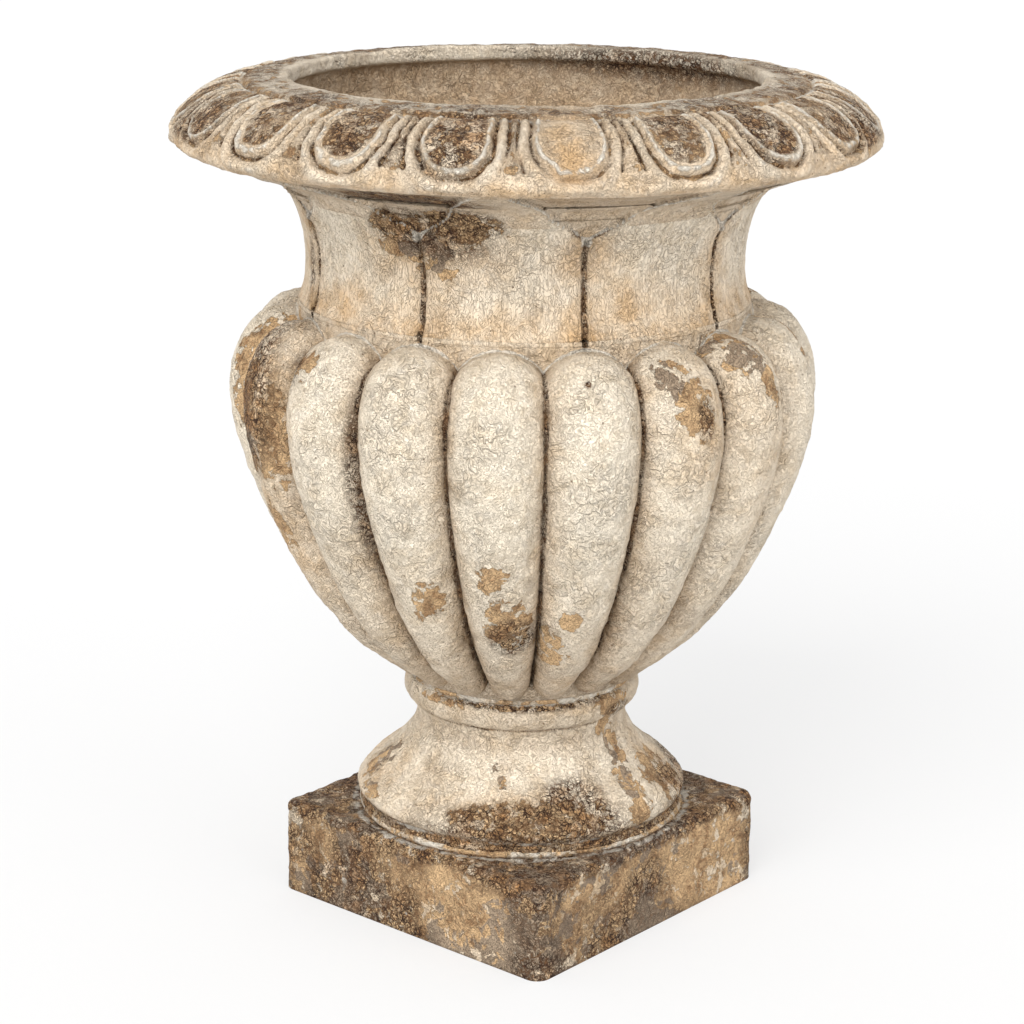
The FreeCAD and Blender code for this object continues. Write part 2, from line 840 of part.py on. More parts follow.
def make_joints():
    """The four mortar beds and their dowels, from the plinth up."""
    back = size("mortar_setback")
    wall = size("neck_wall")
    beds = [
        ("plinth", plinth_top, size("foot_ring_radius"), tie_hole_radius, plinth_dowel_ring),
        ("foot", foot_top, size("collar_top_radius"), tie_hole_radius, foot_dowel_ring),
        ("bowl", bowl_top, neck_base_radius, neck_base_radius - wall, bowl_dowel_ring),
        ("neck", neck_top, neck_top_radius, neck_top_radius - wall, neck_dowel_ring),
    ]
    made = []
    for below, level, outer, inner, ring in beds:
        made.append(make_mortar(below + "_mortar", level, outer - back, inner, ring))
        made.append(make_dowels(below + "_dowels", level, ring))
    return made


parts = [make_plinth(), make_foot(), make_bowl(), make_neck(), make_rim(), make_hoop()]
parts += make_joints()
parts += make_tie()
document.recompute()

for item in document.Objects:
    if "Invalid" in item.State or "Error" in item.State:
        raise RuntimeError("%s failed: %s" % (item.Label, item.State))
for part in parts:
    if part.Shape.isNull() or not part.Shape.isValid():
        raise RuntimeError("%s has no sound shape" % part.Label)

os.makedirs("parts", exist_ok=True)
for part in parts:
    part.Shape.exportStep("parts/%s.step" % part.Label)
    print("%-20s %12.0f mm3" % (part.Label, part.Shape.Volume))
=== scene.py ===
import math

import bpy
import numpy as np
from mathutils import Matrix, Vector


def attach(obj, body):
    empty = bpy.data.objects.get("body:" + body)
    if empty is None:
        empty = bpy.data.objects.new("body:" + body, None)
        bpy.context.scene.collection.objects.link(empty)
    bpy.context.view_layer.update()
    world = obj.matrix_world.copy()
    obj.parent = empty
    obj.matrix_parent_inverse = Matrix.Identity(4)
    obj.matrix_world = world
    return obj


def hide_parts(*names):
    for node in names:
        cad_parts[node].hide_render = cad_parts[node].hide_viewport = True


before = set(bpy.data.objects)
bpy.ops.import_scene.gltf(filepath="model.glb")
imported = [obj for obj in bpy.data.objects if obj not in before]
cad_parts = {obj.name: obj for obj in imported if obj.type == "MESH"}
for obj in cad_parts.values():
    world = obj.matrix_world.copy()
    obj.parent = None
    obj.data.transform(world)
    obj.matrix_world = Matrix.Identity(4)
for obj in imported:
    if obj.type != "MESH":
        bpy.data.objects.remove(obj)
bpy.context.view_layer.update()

MM = 0.001

# Levels and radii of the castings, in millimetres, as in the part.
PLINTH_TOP = 70.0
FOOT_BASE, FOOT_TOP = 73.0, 172.0
BOWL_BASE, BOWL_TOP = 175.0, 450.0
NECK_BASE, NECK_TOP = 453.0, 538.0
RIM_BASE, RIM_TOP = 541.0, 610.0
TIE_HOLE = 12.0
SEAT_RADIUS = 161.5
NECK_WALL = 24.0

LOBES = 18
LOBE_TURN = math.radians(5.0)
PANELS = 9
PANEL_TURN = math.radians(5.0)
EGGS = 20
EGG_TURN = math.radians(11.6)

# The photograph's viewpoint: bearing round the urn from the plinth's front, and the lens.
VIEW_BEARING = math.radians(40.6)
VIEW_DISTANCE = 1.9418
VIEW_HEIGHT = 0.8503
VIEW_PITCH = math.radians(16.07)
VIEW_YAW = math.radians(0.237)
VIEW_ROLL = math.radians(0.42)
FOCAL_PIXELS = 2767.8
IMAGE_PIXELS = 1024.0
SENSOR_MM = 36.0


# ---------------------------------------------------------------- noise and curves

def hashed(cells, seed):
    """A steady random number from 0 to 1 for each whole-numbered cell."""
    mixed = cells[..., 0] * 73856093 ^ cells[..., 1] * 19349663 ^ cells[..., 2] * 83492791
    mixed = (mixed + seed * 7919) & 0xFFFFFFFF
    mixed = ((mixed ^ (mixed >> 15)) * 2246822519) & 0xFFFFFFFF
    mixed = ((mixed ^ (mixed >> 13)) * 3266489917) & 0xFFFFFFFF
    return ((mixed ^ (mixed >> 16)) & 0xFFFF) / 65535.0


def noise(points, grain, seed):
    """Smooth noise from -1 to 1 with lumps about as wide as the grain, in millimetres."""
    scaled = points / grain
    cell = np.floor(scaled).astype(np.int64)
    part = scaled - cell
    part = part * part * (3 - 2 * part)
    total = 0.0
    for corner in range(8):
        step = np.array([corner & 1, corner >> 1 & 1, corner >> 2 & 1])
        weight = np.prod(np.where(step, part, 1 - part), axis=-1)
        total = total + weight * hashed(cell + step, seed)
    return total * 2 - 1


def rough(points, grain, seed, octaves=3):
    """Noise with finer noise upon it."""
    total = 0.0
    for octave in range(octaves):
        total = total + noise(points, grain / 2**octave, seed + octave) / 1.9**octave
    return total


def warped(points, grain, reach, seed):
    """Points pushed about by noise, so that what is drawn on them wanders."""
    pushes = [noise(points, grain, seed + axis) for axis in range(3)]
    return points + reach * np.stack(pushes, axis=-1)


def ridges(points, grain, seed):
    """Thin winding crests, 1 on a crest and 0 far from it."""
    return 1 - np.minimum(1, np.abs(rough(points, grain, seed, 2)) * 2.2)


def step_up(value, low, high):
    """0 below low, 1 above high, smooth between."""
    share = np.clip((value - low) / (high - low), 0, 1)
    return share * share * (3 - 2 * share)


def bell(distance, width):
    return np.exp(-((distance / width) ** 2))


def smooth_max(first, second, width):
    """The larger of two values, with a fillet about as wide as given where they cross."""
    return 0.5 * (first + second + np.sqrt((first - second) ** 2 + width**2))


def curve_through(knots, places):
    """A smooth curve through (place, value) knots."""
    at = np.array([knot[0] for knot in knots], float)
    value = np.array([knot[1] for knot in knots], float)
    slope = np.gradient(value, at)
    index = np.clip(np.searchsorted(at, places) - 1, 0, len(at) - 2)
    span = at[index + 1] - at[index]
    t = np.clip((places - at[index]) / span, 0, 1)
    start = (1 + 2 * t) * (1 - t) ** 2 * value[index] + t * (1 - t) ** 2 * span * slope[index]
    finish = t * t * (3 - 2 * t) * value[index + 1] + t * t * (t - 1) * span * slope[index + 1]
    return start + finish


def arc(start, finish, bulge, parts=12):
    """Points from start to finish on an arc that stands out to the right by bulge."""
    start, finish = np.array(start, float), np.array(finish, float)
    chord = finish - start
    right = np.array([chord[1], -chord[0]]) / np.hypot(*chord)
    share = np.linspace(0, 1, parts + 1)[:, None]
    return list(start + chord * share + right * bulge * 4 * share * (1 - share))


def walked(points, spacing):
    """A closed (radius, height) outline cut into steps; spacing tells the step at a place."""
    corners = np.array(points + [points[0]], float)
    made = []
    for start, finish in zip(corners[:-1], corners[1:]):
        length = np.hypot(*(finish - start))
        count = max(1, int(round(length / spacing((start + finish) / 2))))
        made += [start + (finish - start) * step / count for step in range(count)]
    return np.array(made)


def eased(outline, passes=2):
    """Softens the corners of a closed outline."""
    for _ in range(passes):
        outline = 0.5 * outline + 0.25 * (np.roll(outline, 1, 0) + np.roll(outline, -1, 0))
    return outline


# ---------------------------------------------------------------- grids

def turned(outline, angles):
    """Points of an outline turned about the urn's axis: rows along it, columns round it."""
    radius, height = outline[:, 0][:, None], outline[:, 1][:, None]
    around = np.ones_like(angles)[None, :]
    return np.stack(
        [radius * np.cos(angles), radius * np.sin(angles), height * around], axis=-1
    )


def normals(grid):
    """Outward direction at each point of a grid that closes both ways."""
    around = np.roll(grid, -1, 1) - np.roll(grid, 1, 1)
    along = np.roll(grid, -1, 0) - np.roll(grid, 1, 0)
    out = np.cross(around, along)
    return out / np.maximum(np.linalg.norm(out, axis=-1, keepdims=True), 1e-9)


def level_out(grid):
    """Direction straight out from the urn's axis."""
    out = grid * np.array([1.0, 1.0, 0.0])
    return out / np.maximum(np.linalg.norm(out, axis=-1, keepdims=True), 1e-9)


def pushed(grid, out, depth):
    return grid + out * depth[..., None]


def bearing(grid):
    """Degrees round the urn from the plinth's front face, as seen from above."""
    return np.degrees(np.arctan2(grid[..., 0], -grid[..., 1]))


def evenly(count, turn):
    return turn + np.arange(count) * 2 * math.pi / count


def crowded(repeats, per_repeat, turn, density):
    """Columns that crowd where neighbours of a repeated form meet, half-way between centres."""
    t = np.arange(per_repeat) / per_repeat * 2 - 1
    eased_t = np.sign(t) * (1 - (density * (1 - np.abs(t)) + (1 - density) * (1 - np.abs(t)) ** 2))
    pitch = 2 * math.pi / repeats
    return np.concatenate([turn + pitch * (k + eased_t / 2) for k in range(repeats)])


def offset_in_repeat(angles, repeats, turn):
    """Angle from the centre of the nearest repeat."""
    pitch = 2 * math.pi / repeats
    return (angles - turn + pitch / 2) % pitch - pitch / 2


def mesh_piece(name, grid, paint, node, material):
    """A piece from a grid in millimetres, painted, put in place of its CAD node."""
    rows, columns = grid.shape[:2]
    index = np.arange(rows * columns).reshape(rows, columns)
    across, up = np.roll(index, -1, 1), np.roll(index, -1, 0)
    diagonal = np.roll(up, -1, 1)
    quads = np.stack([index, across, diagonal, up], axis=-1).reshape(-1, 4)
    mesh = bpy.data.meshes.new(name)
    mesh.vertices.add(rows * columns)
    mesh.vertices.foreach_set("co", (grid * MM).reshape(-1).astype(np.float32))
    mesh.loops.add(quads.size)
    mesh.loops.foreach_set("vertex_index", quads.reshape(-1).astype(np.int32))
    mesh.polygons.add(len(quads))
    mesh.polygons.foreach_set("loop_start", np.arange(0, quads.size, 4, dtype=np.int32))
    mesh.polygons.foreach_set("use_smooth", np.ones(len(quads), bool))
    mesh.update(calc_edges=True)
    mesh.validate()
    for layer, values in paint.items():
        attribute = mesh.attributes.new(layer, "FLOAT", "POINT")
        attribute.data.foreach_set("value", np.clip(values, 0, 1).reshape(-1).astype(np.float32))
    mesh.materials.append(material)
    piece = bpy.data.objects.new(name, mesh)
    bpy.context.scene.collection.objects.link(piece)
    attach(piece, "root")
    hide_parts(node)
    return piece


# ---------------------------------------------------------------- weathering and painted shade

LAYERS = ("grime", "bare", "dark", "lime", "warm", "grey")


class Patch:
    """A place where the coat is worn or stained: a bearing, a height and its reach in mm."""

    def __init__(self, layer, at, height, wide, tall, strength=1.0, lean=0.0):
        self.layer, self.at, self.height = layer, at, height
        self.wide, self.tall, self.strength, self.lean = wide, tall, strength, lean

    def on(self, grid):
        radius = np.hypot(grid[..., 0], grid[..., 1])
        away = (bearing(grid) - self.at + 180) % 360 - 180
        across = np.radians(away) * radius - self.lean * (grid[..., 2] - self.height)
        reach = np.hypot(across / self.wide, (grid[..., 2] - self.height) / self.tall)
        return self.strength * bell(reach, 1.0)


def painted(grid, patches, **layers):
    """All weathering and painted-shade layers on a grid: what each piece gives, and the patches on it."""
    paint = {layer: np.zeros(grid.shape[:2]) for layer in LAYERS}
    for layer, values in layers.items():
        paint[layer] = paint[layer] + values
    for patch in patches:
        paint[patch.layer] = np.maximum(paint[patch.layer], patch.on(grid))
    return paint


def also_behind(patches):
    """The same kinds of wear again on the sides that the photograph doesn't show."""
    more = []
    for number, patch in enumerate(patches):
        for turn in (118.0, 205.0):
            at = patch.at + turn + 23.0 * math.sin(3.7 * number)
            hidden = abs((at - math.degrees(VIEW_BEARING) + 180) % 360 - 180) > 95
            if hidden and number % 3 != int(turn) % 3:
                more.append(Patch(patch.layer, at, patch.height, patch.wide, patch.tall,
                                  patch.strength, -patch.lean))
    return patches + more


# ---------------------------------------------------------------- node materials

def linear(red, green, blue):
    """A display colour, 0 to 255, as the linear colour that a shader takes."""
    shares = [channel / 255 for channel in (red, green, blue)]
    return tuple(
        share / 12.92 if share <= 0.04045 else ((share + 0.055) / 1.055) ** 2.4
        for share in shares
    ) + (1.0,)


class Recipe:
    """Builds one node material. Lengths in it are in millimetres."""

    def __init__(self, name, roughness=0.85, metallic=0.0, specular=0.3):
        self.material = bpy.data.materials.new(name)
        self.material.use_nodes = True
        self.tree = self.material.node_tree
        self.shader = self.tree.nodes["Principled BSDF"]
        self.shader.inputs["Metallic"].default_value = metallic
        self.shader.inputs["Roughness"].default_value = roughness
        self.shader.inputs["Specular IOR Level"].default_value = specular
        place = self.tree.nodes.new("ShaderNodeTexCoord").outputs["Object"]
        self.place = self.vector("SCALE", place, scale=1000.0)

    def put(self, socket, value):
        if isinstance(value, bpy.types.NodeSocket):
            self.tree.links.new(value, socket)
        elif value is not None:
            socket.default_value = value

    def vector(self, operation, first, second=None, scale=None):
        node = self.tree.nodes.new("ShaderNodeVectorMath")
        node.operation = operation
        self.put(node.inputs[0], first)
        self.put(node.inputs[1], second)
        if scale is not None:
            self.put(node.inputs["Scale"], scale)
        return node.outputs[0]

    def math(self, operation, first, second=None, clamp=False):
        node = self.tree.nodes.new("ShaderNodeMath")
        node.operation = operation
        node.use_clamp = clamp
        self.put(node.inputs[0], first)
        self.put(node.inputs[1], second)
        return node.outputs[0]

    def between(self, value, low, high, bottom=0.0, top=1.0):
        """Maps low..high smoothly on bottom..top."""
        node = self.tree.nodes.new("ShaderNodeMapRange")
        node.interpolation_type = "SMOOTHSTEP"
        self.put(node.inputs["Value"], value)
        for name, number in zip(("From Min", "From Max", "To Min", "To Max"), (low, high, bottom, top)):
            node.inputs[name].default_value = number
        return node.outputs["Result"]

    def mix(self, share, first, second, how="MIX"):
        node = self.tree.nodes.new("ShaderNodeMix")
        node.data_type = "RGBA"
        node.blend_type = how
        self.put(node.inputs["Factor"], share)
        colours = [socket for socket in node.inputs if socket.type == "RGBA"]
        self.put(colours[0], first)
        self.put(colours[1], second)
        return next(socket for socket in node.outputs if socket.type == "RGBA")

    def noise(self, grain, detail=3.0, roughness=0.55, twist=0.0, place=None, colour=False):
        node = self.tree.nodes.new("ShaderNodeTexNoise")
        self.put(node.inputs["Vector"], place or self.place)
        node.inputs["Scale"].default_value = 1.0 / grain
        node.inputs["Detail"].default_value = detail
        node.inputs["Roughness"].default_value = roughness
        node.inputs["Distortion"].default_value = twist
        return node.outputs["Color" if colour else "Fac"]

    def cells(self, grain, feature="F1", place=None, output="Distance"):
        node = self.tree.nodes.new("ShaderNodeTexVoronoi")
        node.feature = feature
        self.put(node.inputs["Vector"], place or self.place)
        node.inputs["Scale"].default_value = 1.0 / grain
        return node.outputs[output]

    def layer(self, name):
        node = self.tree.nodes.new("ShaderNodeAttribute")
        node.attribute_name = name
        return node.outputs["Fac"]

    def pushed_place(self, grain, reach):
        spread = self.vector("SUBTRACT", self.noise(grain, colour=True), (0.5, 0.5, 0.5))
        return self.vector("ADD", self.place, self.vector("SCALE", spread, scale=reach))

    def worms(self, grain, twist, thin, place=None):
        """Thin winding lines, 1 on the line."""
        wave = self.noise(grain, 1.0, 0.5, twist, place)
        return self.between(self.math("ABSOLUTE", self.math("SUBTRACT", wave, 0.5)), 0.0, thin, 1.0, 0.0)

    def crackle(self, grain, width, place):
        """Dark outlines of small scales of the coat."""
        return self.between(self.cells(grain, "DISTANCE_TO_EDGE", place), width * 0.3, width, 1.0, 0.0)

    def patchy(self, layer, spread, grain_noise, edge=0.03):
        """Where a painted layer, roughened by noise, passes a half: crisp-edged patches."""
        swing = self.math("MULTIPLY", self.math("SUBTRACT", grain_noise, 0.5), spread)
        rough_layer = self.math("MULTIPLY", layer, self.math("ADD", swing, 1.0))
        return self.between(rough_layer, 0.5 - edge, 0.5 + edge)

    def bump(self, height, distance=0.001):
        node = self.tree.nodes.new("ShaderNodeBump")
        node.inputs["Distance"].default_value = distance
        node.inputs["Strength"].default_value = 1.0
        self.put(node.inputs["Height"], height)
        self.put(self.shader.inputs["Normal"], node.outputs["Normal"])

    def finish(self, colour, roughness):
        self.put(self.shader.inputs["Base Color"], colour)
        self.put(self.shader.inputs["Roughness"], roughness)
        return self.material


CREAM = linear(232, 220, 200)
# painted highlight colour for the raised bits of the coat's relief
PAINTED_HIGHLIGHT_CREAM = linear(242, 233, 218)
CREAM_DEEP = linear(213, 194, 165)
OCHRE = linear(205, 162, 108)
TAN = linear(204, 170, 128)
BROWN = linear(138, 102, 68)
UMBER = linear(60, 38, 24)
UMBER_PALE = linear(104, 72, 44)
GREY = linear(148, 132, 114)
# colour of dust and of painted shade: the brush marks' grooves and the grime layer
DUST_AND_SHADE = linear(140, 112, 80)
# warm tint of rust stains and of painted shade in the dark layer
RUST_AND_SHADE = linear(184, 132, 78)
LIME = linear(220, 212, 198)


def stone_material(name, daub=1.0, upright=False, cracks=1.0):
    """Cast stone under a brushed cream coat, worn through where the layers say so."""
    recipe = Recipe(name)
    wander = recipe.pushed_place(14.0, 12.0)
    wide = recipe.noise(70.0, 2.0)
    middle = recipe.noise(17.0, 4.0, 0.6, place=wander)
    flakes = recipe.noise(9.5, 5.0, 0.62, place=wander)
    small = recipe.noise(6.5, 2.0, 0.55, 0.4)
    crumbs = recipe.noise(1.8, 2.0)
    brushed = recipe.vector("MULTIPLY", recipe.place, (1.0, 1.0, 0.4)) if upright else recipe.place

    # relief of the brushed coat: daubs with crisp edges, winding brush marks, fine grain
    heaps = recipe.between(recipe.noise(8.0, 1.0, 0.5, 1.5, wander), 0.47, 0.58)
    where = recipe.between(recipe.noise(34.0, 2.0), 0.42, 0.62)
    daubs = recipe.math("MULTIPLY", heaps, recipe.math("MULTIPLY", where, 0.9 * daub))
    marks = recipe.worms(5.5, 2.6, 0.032, brushed)
    fine_marks = recipe.worms(2.8, 1.6, 0.04, brushed)
    relief = recipe.math("MULTIPLY", small, 0.75 * daub)
    relief = recipe.math("ADD", relief, recipe.math("MULTIPLY", daubs, 1.1))
    relief = recipe.math("SUBTRACT", relief, recipe.math("MULTIPLY", marks, 0.30))
    relief = recipe.math("SUBTRACT", relief, recipe.math("MULTIPLY", fine_marks, 0.15))
    relief = recipe.math("ADD", relief, recipe.math("MULTIPLY", crumbs, 0.06))

    # coat
    colour = recipe.mix(recipe.between(middle, 0.42, 0.72, 0.0, 0.5), CREAM, CREAM_DEEP)
    colour = recipe.mix(recipe.between(wide, 0.4, 0.75, 0.0, 0.2), colour, CREAM_DEEP)
    # painted highlight: a lighter cream on the raised bits of the coat's relief
    colour = recipe.mix(recipe.between(small, 0.5, 0.72, 0.0, 0.35), colour, PAINTED_HIGHLIGHT_CREAM)
    warm = recipe.math("MULTIPLY", recipe.layer("warm"), recipe.between(middle, 0.25, 0.7, 0.45, 1.0))
    colour = recipe.mix(recipe.math("MULTIPLY", warm, 0.8, True), colour, OCHRE)
    # the grooves of the brush marks are painted darker: painted shade, with more dirt where the grime layer is strong
    lines = recipe.math("MAXIMUM", recipe.math("MULTIPLY", marks, 0.8), fine_marks)
    grime_layer = recipe.layer("grime")
    line_share = recipe.math("ADD", recipe.math("MULTIPLY", grime_layer, 0.6), 0.12)
    colour = recipe.mix(recipe.math("MULTIPLY", lines, line_share, True), colour, DUST_AND_SHADE)
    # the grime layer: dirt, and painted shade where the pieces put it in grooves, recesses, under the rim and inside
    grime = recipe.math("MULTIPLY", grime_layer, recipe.between(small, 0.3, 0.65, 0.6, 1.0))
    colour = recipe.mix(recipe.math("MULTIPLY", grime, 0.9, True), colour, DUST_AND_SHADE)

    # bare stone where the coat has flaked off
    bare_layer = recipe.layer("bare")
    bare = recipe.patchy(bare_layer, 4.0, flakes)
    stone = recipe.mix(recipe.between(middle, 0.42, 0.62, 0.0, 0.75), TAN, BROWN)
    stone = recipe.mix(recipe.between(small, 0.4, 0.6, 0.0, 0.7), stone, TAN)
    grey = recipe.patchy(recipe.layer("grey"), 4.0, recipe.noise(15.0, 3.0, 0.6, 0.6))
    stone = recipe.mix(recipe.math("MULTIPLY", grey, 0.85), stone, GREY)
    # painted shade: darker lines in the grooves of the brush marks on the bare stone
    stone = recipe.mix(recipe.math("MULTIPLY", lines, 0.45), stone, UMBER)
    colour = recipe.mix(bare, colour, stone)
    relief = recipe.math("SUBTRACT", relief, recipe.math("MULTIPLY", bare, 0.9))

    # dark stains, and the painted shade lines that the pieces put in the dark layer: winding lines first, then solid
    # where they are strong
    dark_layer = recipe.layer("dark")
    stain_and_shade = recipe.patchy(recipe.math("MULTIPLY", dark_layer, 0.5), 2.6, small, 0.06)
    scales = recipe.crackle(4.6, 0.12 * cracks, recipe.pushed_place(4.0, 6.0))
    scales = recipe.math("MULTIPLY", scales, recipe.between(flakes, 0.42, 0.52))
    crack_lines = recipe.math("MAXIMUM", recipe.worms(6.0, 3.0, 0.06 * cracks), scales)
    cracked = recipe.math("MULTIPLY", crack_lines, recipe.between(dark_layer, 0.1, 0.42))
    stain_and_shade = recipe.math("MAXIMUM", recipe.math("MULTIPLY", stain_and_shade, 0.65), cracked)
    rust_and_shade = recipe.math("MULTIPLY", recipe.between(dark_layer, 0.15, 0.6), recipe.between(middle, 0.45, 0.62, 0.0, 0.55))
    colour = recipe.mix(rust_and_shade, colour, RUST_AND_SHADE)
    colour = recipe.mix(stain_and_shade, colour, recipe.mix(recipe.between(small, 0.42, 0.6), UMBER, UMBER_PALE))
    relief = recipe.math("SUBTRACT", relief, recipe.math("MULTIPLY", stain_and_shade, 0.6))

    # lime along the joints
    lime = recipe.patchy(recipe.layer("lime"), 2.6, small, 0.2)
    colour = recipe.mix(recipe.math("MULTIPLY", lime, 0.85), colour, LIME)
    relief = recipe.math("ADD", relief, recipe.math("MULTIPLY", lime, 0.4))

    # pits
    near = recipe.cells(11.0)
    chosen = recipe.between(recipe.noise(23.0, 1.0), 0.45, 0.5)
    pits = recipe.math("MULTIPLY", recipe.between(near, 0.035, 0.07, 1.0, 0.0), chosen)
    pinholes = recipe.between(recipe.cells(3.6), 0.07, 0.14, 1.0, 0.0)
    pits = recipe.math("MAXIMUM", pits, recipe.math("MULTIPLY", pinholes, recipe.between(middle, 0.45, 0.6, 0.0, 0.55)))
    colour = recipe.mix(recipe.math("MULTIPLY", pits, 0.75), colour, BROWN)
    relief = recipe.math("SUBTRACT", relief, recipe.math("MULTIPLY", pits, 0.8))

    recipe.bump(relief, 0.0026)
    return recipe.finish(colour, recipe.between(small, 0.3, 0.7, 0.95, 0.72))


def steel_material():
    recipe = Recipe("zinc_plated_steel", 0.4, metallic=1.0, specular=0.5)
    spangle = recipe.cells(4.0, output="Color")
    cloud = recipe.noise(12.0, 4.0)
    colour = recipe.mix(0.25, linear(176, 180, 184), spangle, "SOFT_LIGHT")
    colour = recipe.mix(recipe.between(cloud, 0.55, 0.7, 0.0, 0.7), colour, linear(120, 92, 66))
    recipe.bump(recipe.noise(1.2, 3.0), 0.0001)
    return recipe.finish(colour, recipe.between(cloud, 0.3, 0.7, 0.32, 0.62))


def rubber_material():
    recipe = Recipe("seal_rubber", 0.7, specular=0.4)
    grain = recipe.noise(1.5, 4.0)
    colour = recipe.mix(recipe.between(grain, 0.35, 0.7), linear(38, 38, 40), linear(70, 66, 62))
    recipe.bump(grain, 0.0002)
    return recipe.finish(colour, recipe.between(grain, 0.3, 0.7, 0.6, 0.85))


# ---------------------------------------------------------------- coat relief in the mesh

def coat(grid, seed, lumps=1.0, daubs=1.0):
    """Unevenness of the cast and of the brushed coat, in millimetres."""
    wander = warped(grid, 18.0, 7.0, seed)
    swell = noise(grid, 46.0, seed + 5) * 0.7 * lumps
    dab = rough(wander, 13.0, seed + 9, 3) * 0.55 * daubs
    crest = ridges(wander, 10.0, seed + 14) * 0.5 * daubs
    return swell + dab + crest


# ---------------------------------------------------------------- bowl

CREST_PATH = ((74, 175.8), (82, 175.9), (90, 178.6), (96, 183), (112, 195), (132.5, 213), (148, 232),
              (165, 256), (181, 287), (196.5, 323), (206, 354), (210.4, 390), (208, 409), (203.5, 421),
              (199, 429.5), (193, 436.5), (186.5, 441.5), (180, 444.6), (172, 446.4), (160, 446.8), (149, 446.8))
TIP_CORE = ((60, 175.2), (84, 175.2), (84.5, 179), (86, 184), (84, 190), (74, 190))
LOBE_DEPTH = 22.0
BELLY_RADIUS = 210.4
LOBE_EDGE = math.pi / LOBES


def crest_line(spacing):
    """Radius and height along a lobe's crest, and how far it faces out and up there."""
    corners = np.array(CREST_PATH, float)
    travel = np.concatenate([[0], np.cumsum(np.hypot(*np.diff(corners, axis=0).T))])
    places = np.arange(0, travel[-1], spacing)
    radius = curve_through(list(zip(travel, corners[:, 0])), places)
    height = curve_through(list(zip(travel, corners[:, 1])), places)
    out, up = np.gradient(height), -np.gradient(radius)
    length = np.hypot(out, up)
    return radius[:, None], height[:, None], (out / length)[:, None], (up / length)[:, None]


def lobed_surface(radius, height, out, up, offset):
    """Radius and height across a lobe: a round bar bent along the crest, met by its neighbours."""
    groove = radius - LOBE_DEPTH * np.minimum(1, radius / BELLY_RADIUS) ** 0.8
    bar = radius - (radius**2 - groove**2) / (2 * (radius - groove * math.cos(LOBE_EDGE)))
    bar = np.maximum.accumulate(bar)
    middle, middle_height = radius - bar * out, height - bar * up
    sin, cos = np.sin(offset), np.cos(offset)
    reach = np.clip(middle * sin / (bar * np.hypot(cos, out * sin)), -1, 1)
    turn = np.arctan2(out * sin, cos) + np.arcsin(reach)
    across = middle + bar * np.cos(turn) * out
    return np.hypot(across, bar * np.sin(turn)), middle_height + bar * np.cos(turn) * up


BOWL_PATCHES = [
    Patch("bare", 19, 276, 11, 14), Patch("bare", 16, 262, 6, 9, 0.8), Patch("bare", 34, 296, 13, 13),
    Patch("bare", 37, 258, 18, 24), Patch("dark", 38, 247, 14, 14, 0.95), Patch("bare", 52, 262, 9, 10),
    Patch("bare", 48, 240, 10, 14), Patch("bare", 50, 226, 12, 9, 0.8), Patch("bare", 71, 430, 12, 12),
    Patch("bare", 74, 412, 15, 24), Patch("grey", 70, 430, 12, 12), Patch("dark", 76, 404, 8, 16, 0.6),
    Patch("grey", 91.5, 436, 16, 14), Patch("bare", 91.5, 436, 17, 14), Patch("bare", 95, 417, 9, 20),
    Patch("bare", 101, 400, 9, 34, 0.9), Patch("bare", 120, 428, 18, 22), Patch("warm", 78, 395, 30, 45, 0.7),
    Patch("bare", -36, 405, 22, 50, 1.0), Patch("bare", -26, 385, 19, 46, 1.0), Patch("grey", -30, 370, 30, 50, 0.7),
    Patch("bare", -19, 372, 18, 40, 0.95), Patch("dark", -26, 395, 24, 46, 0.95), Patch("warm", -22, 390, 40, 60, 1.0),
    Patch("bare", -12, 330, 12, 30, 0.8), Patch("warm", -25, 300, 40, 60, 0.7), Patch("bare", -24, 300, 12, 26, 0.85),
    Patch("bare", -8, 430, 16, 12, 0.85), Patch("dark", -12, 425, 16, 14, 0.5), Patch("dark", 5, 350, 8, 70, 0.55),
    Patch("dark", 52.8, 432.3, 1.8, 1.8, 1.0), Patch("warm", 60, 200, 60, 18, 0.5), Patch("warm", 85, 400, 60, 60, 0.4),
    Patch("warm", 25, 205, 30, 20, 0.4), Patch("warm", 100, 360, 40, 80, 0.5), Patch("bare", 84, 335, 6, 14, 0.7),
]


def bowl_inside():
    """The hollow of the bowl, from its seat down to the floor, the sump and the drain hole."""
    seat = SEAT_RADIUS - NECK_WALL
    floor, sump = BOWL_BASE + 44.0, BOWL_BASE + 19.0
    belly = BELLY_RADIUS - LOBE_DEPTH - 18.0
    down = arc((seat, BOWL_TOP), (belly, BOWL_BASE + 215.0), -10.3)
    down += arc((belly, BOWL_BASE + 215.0), (88.0, floor), -19.5)[1:]
    return down + [(30.0, floor), (30.0, sump), (TIE_HOLE, sump), (TIE_HOLE, BOWL_BASE)]


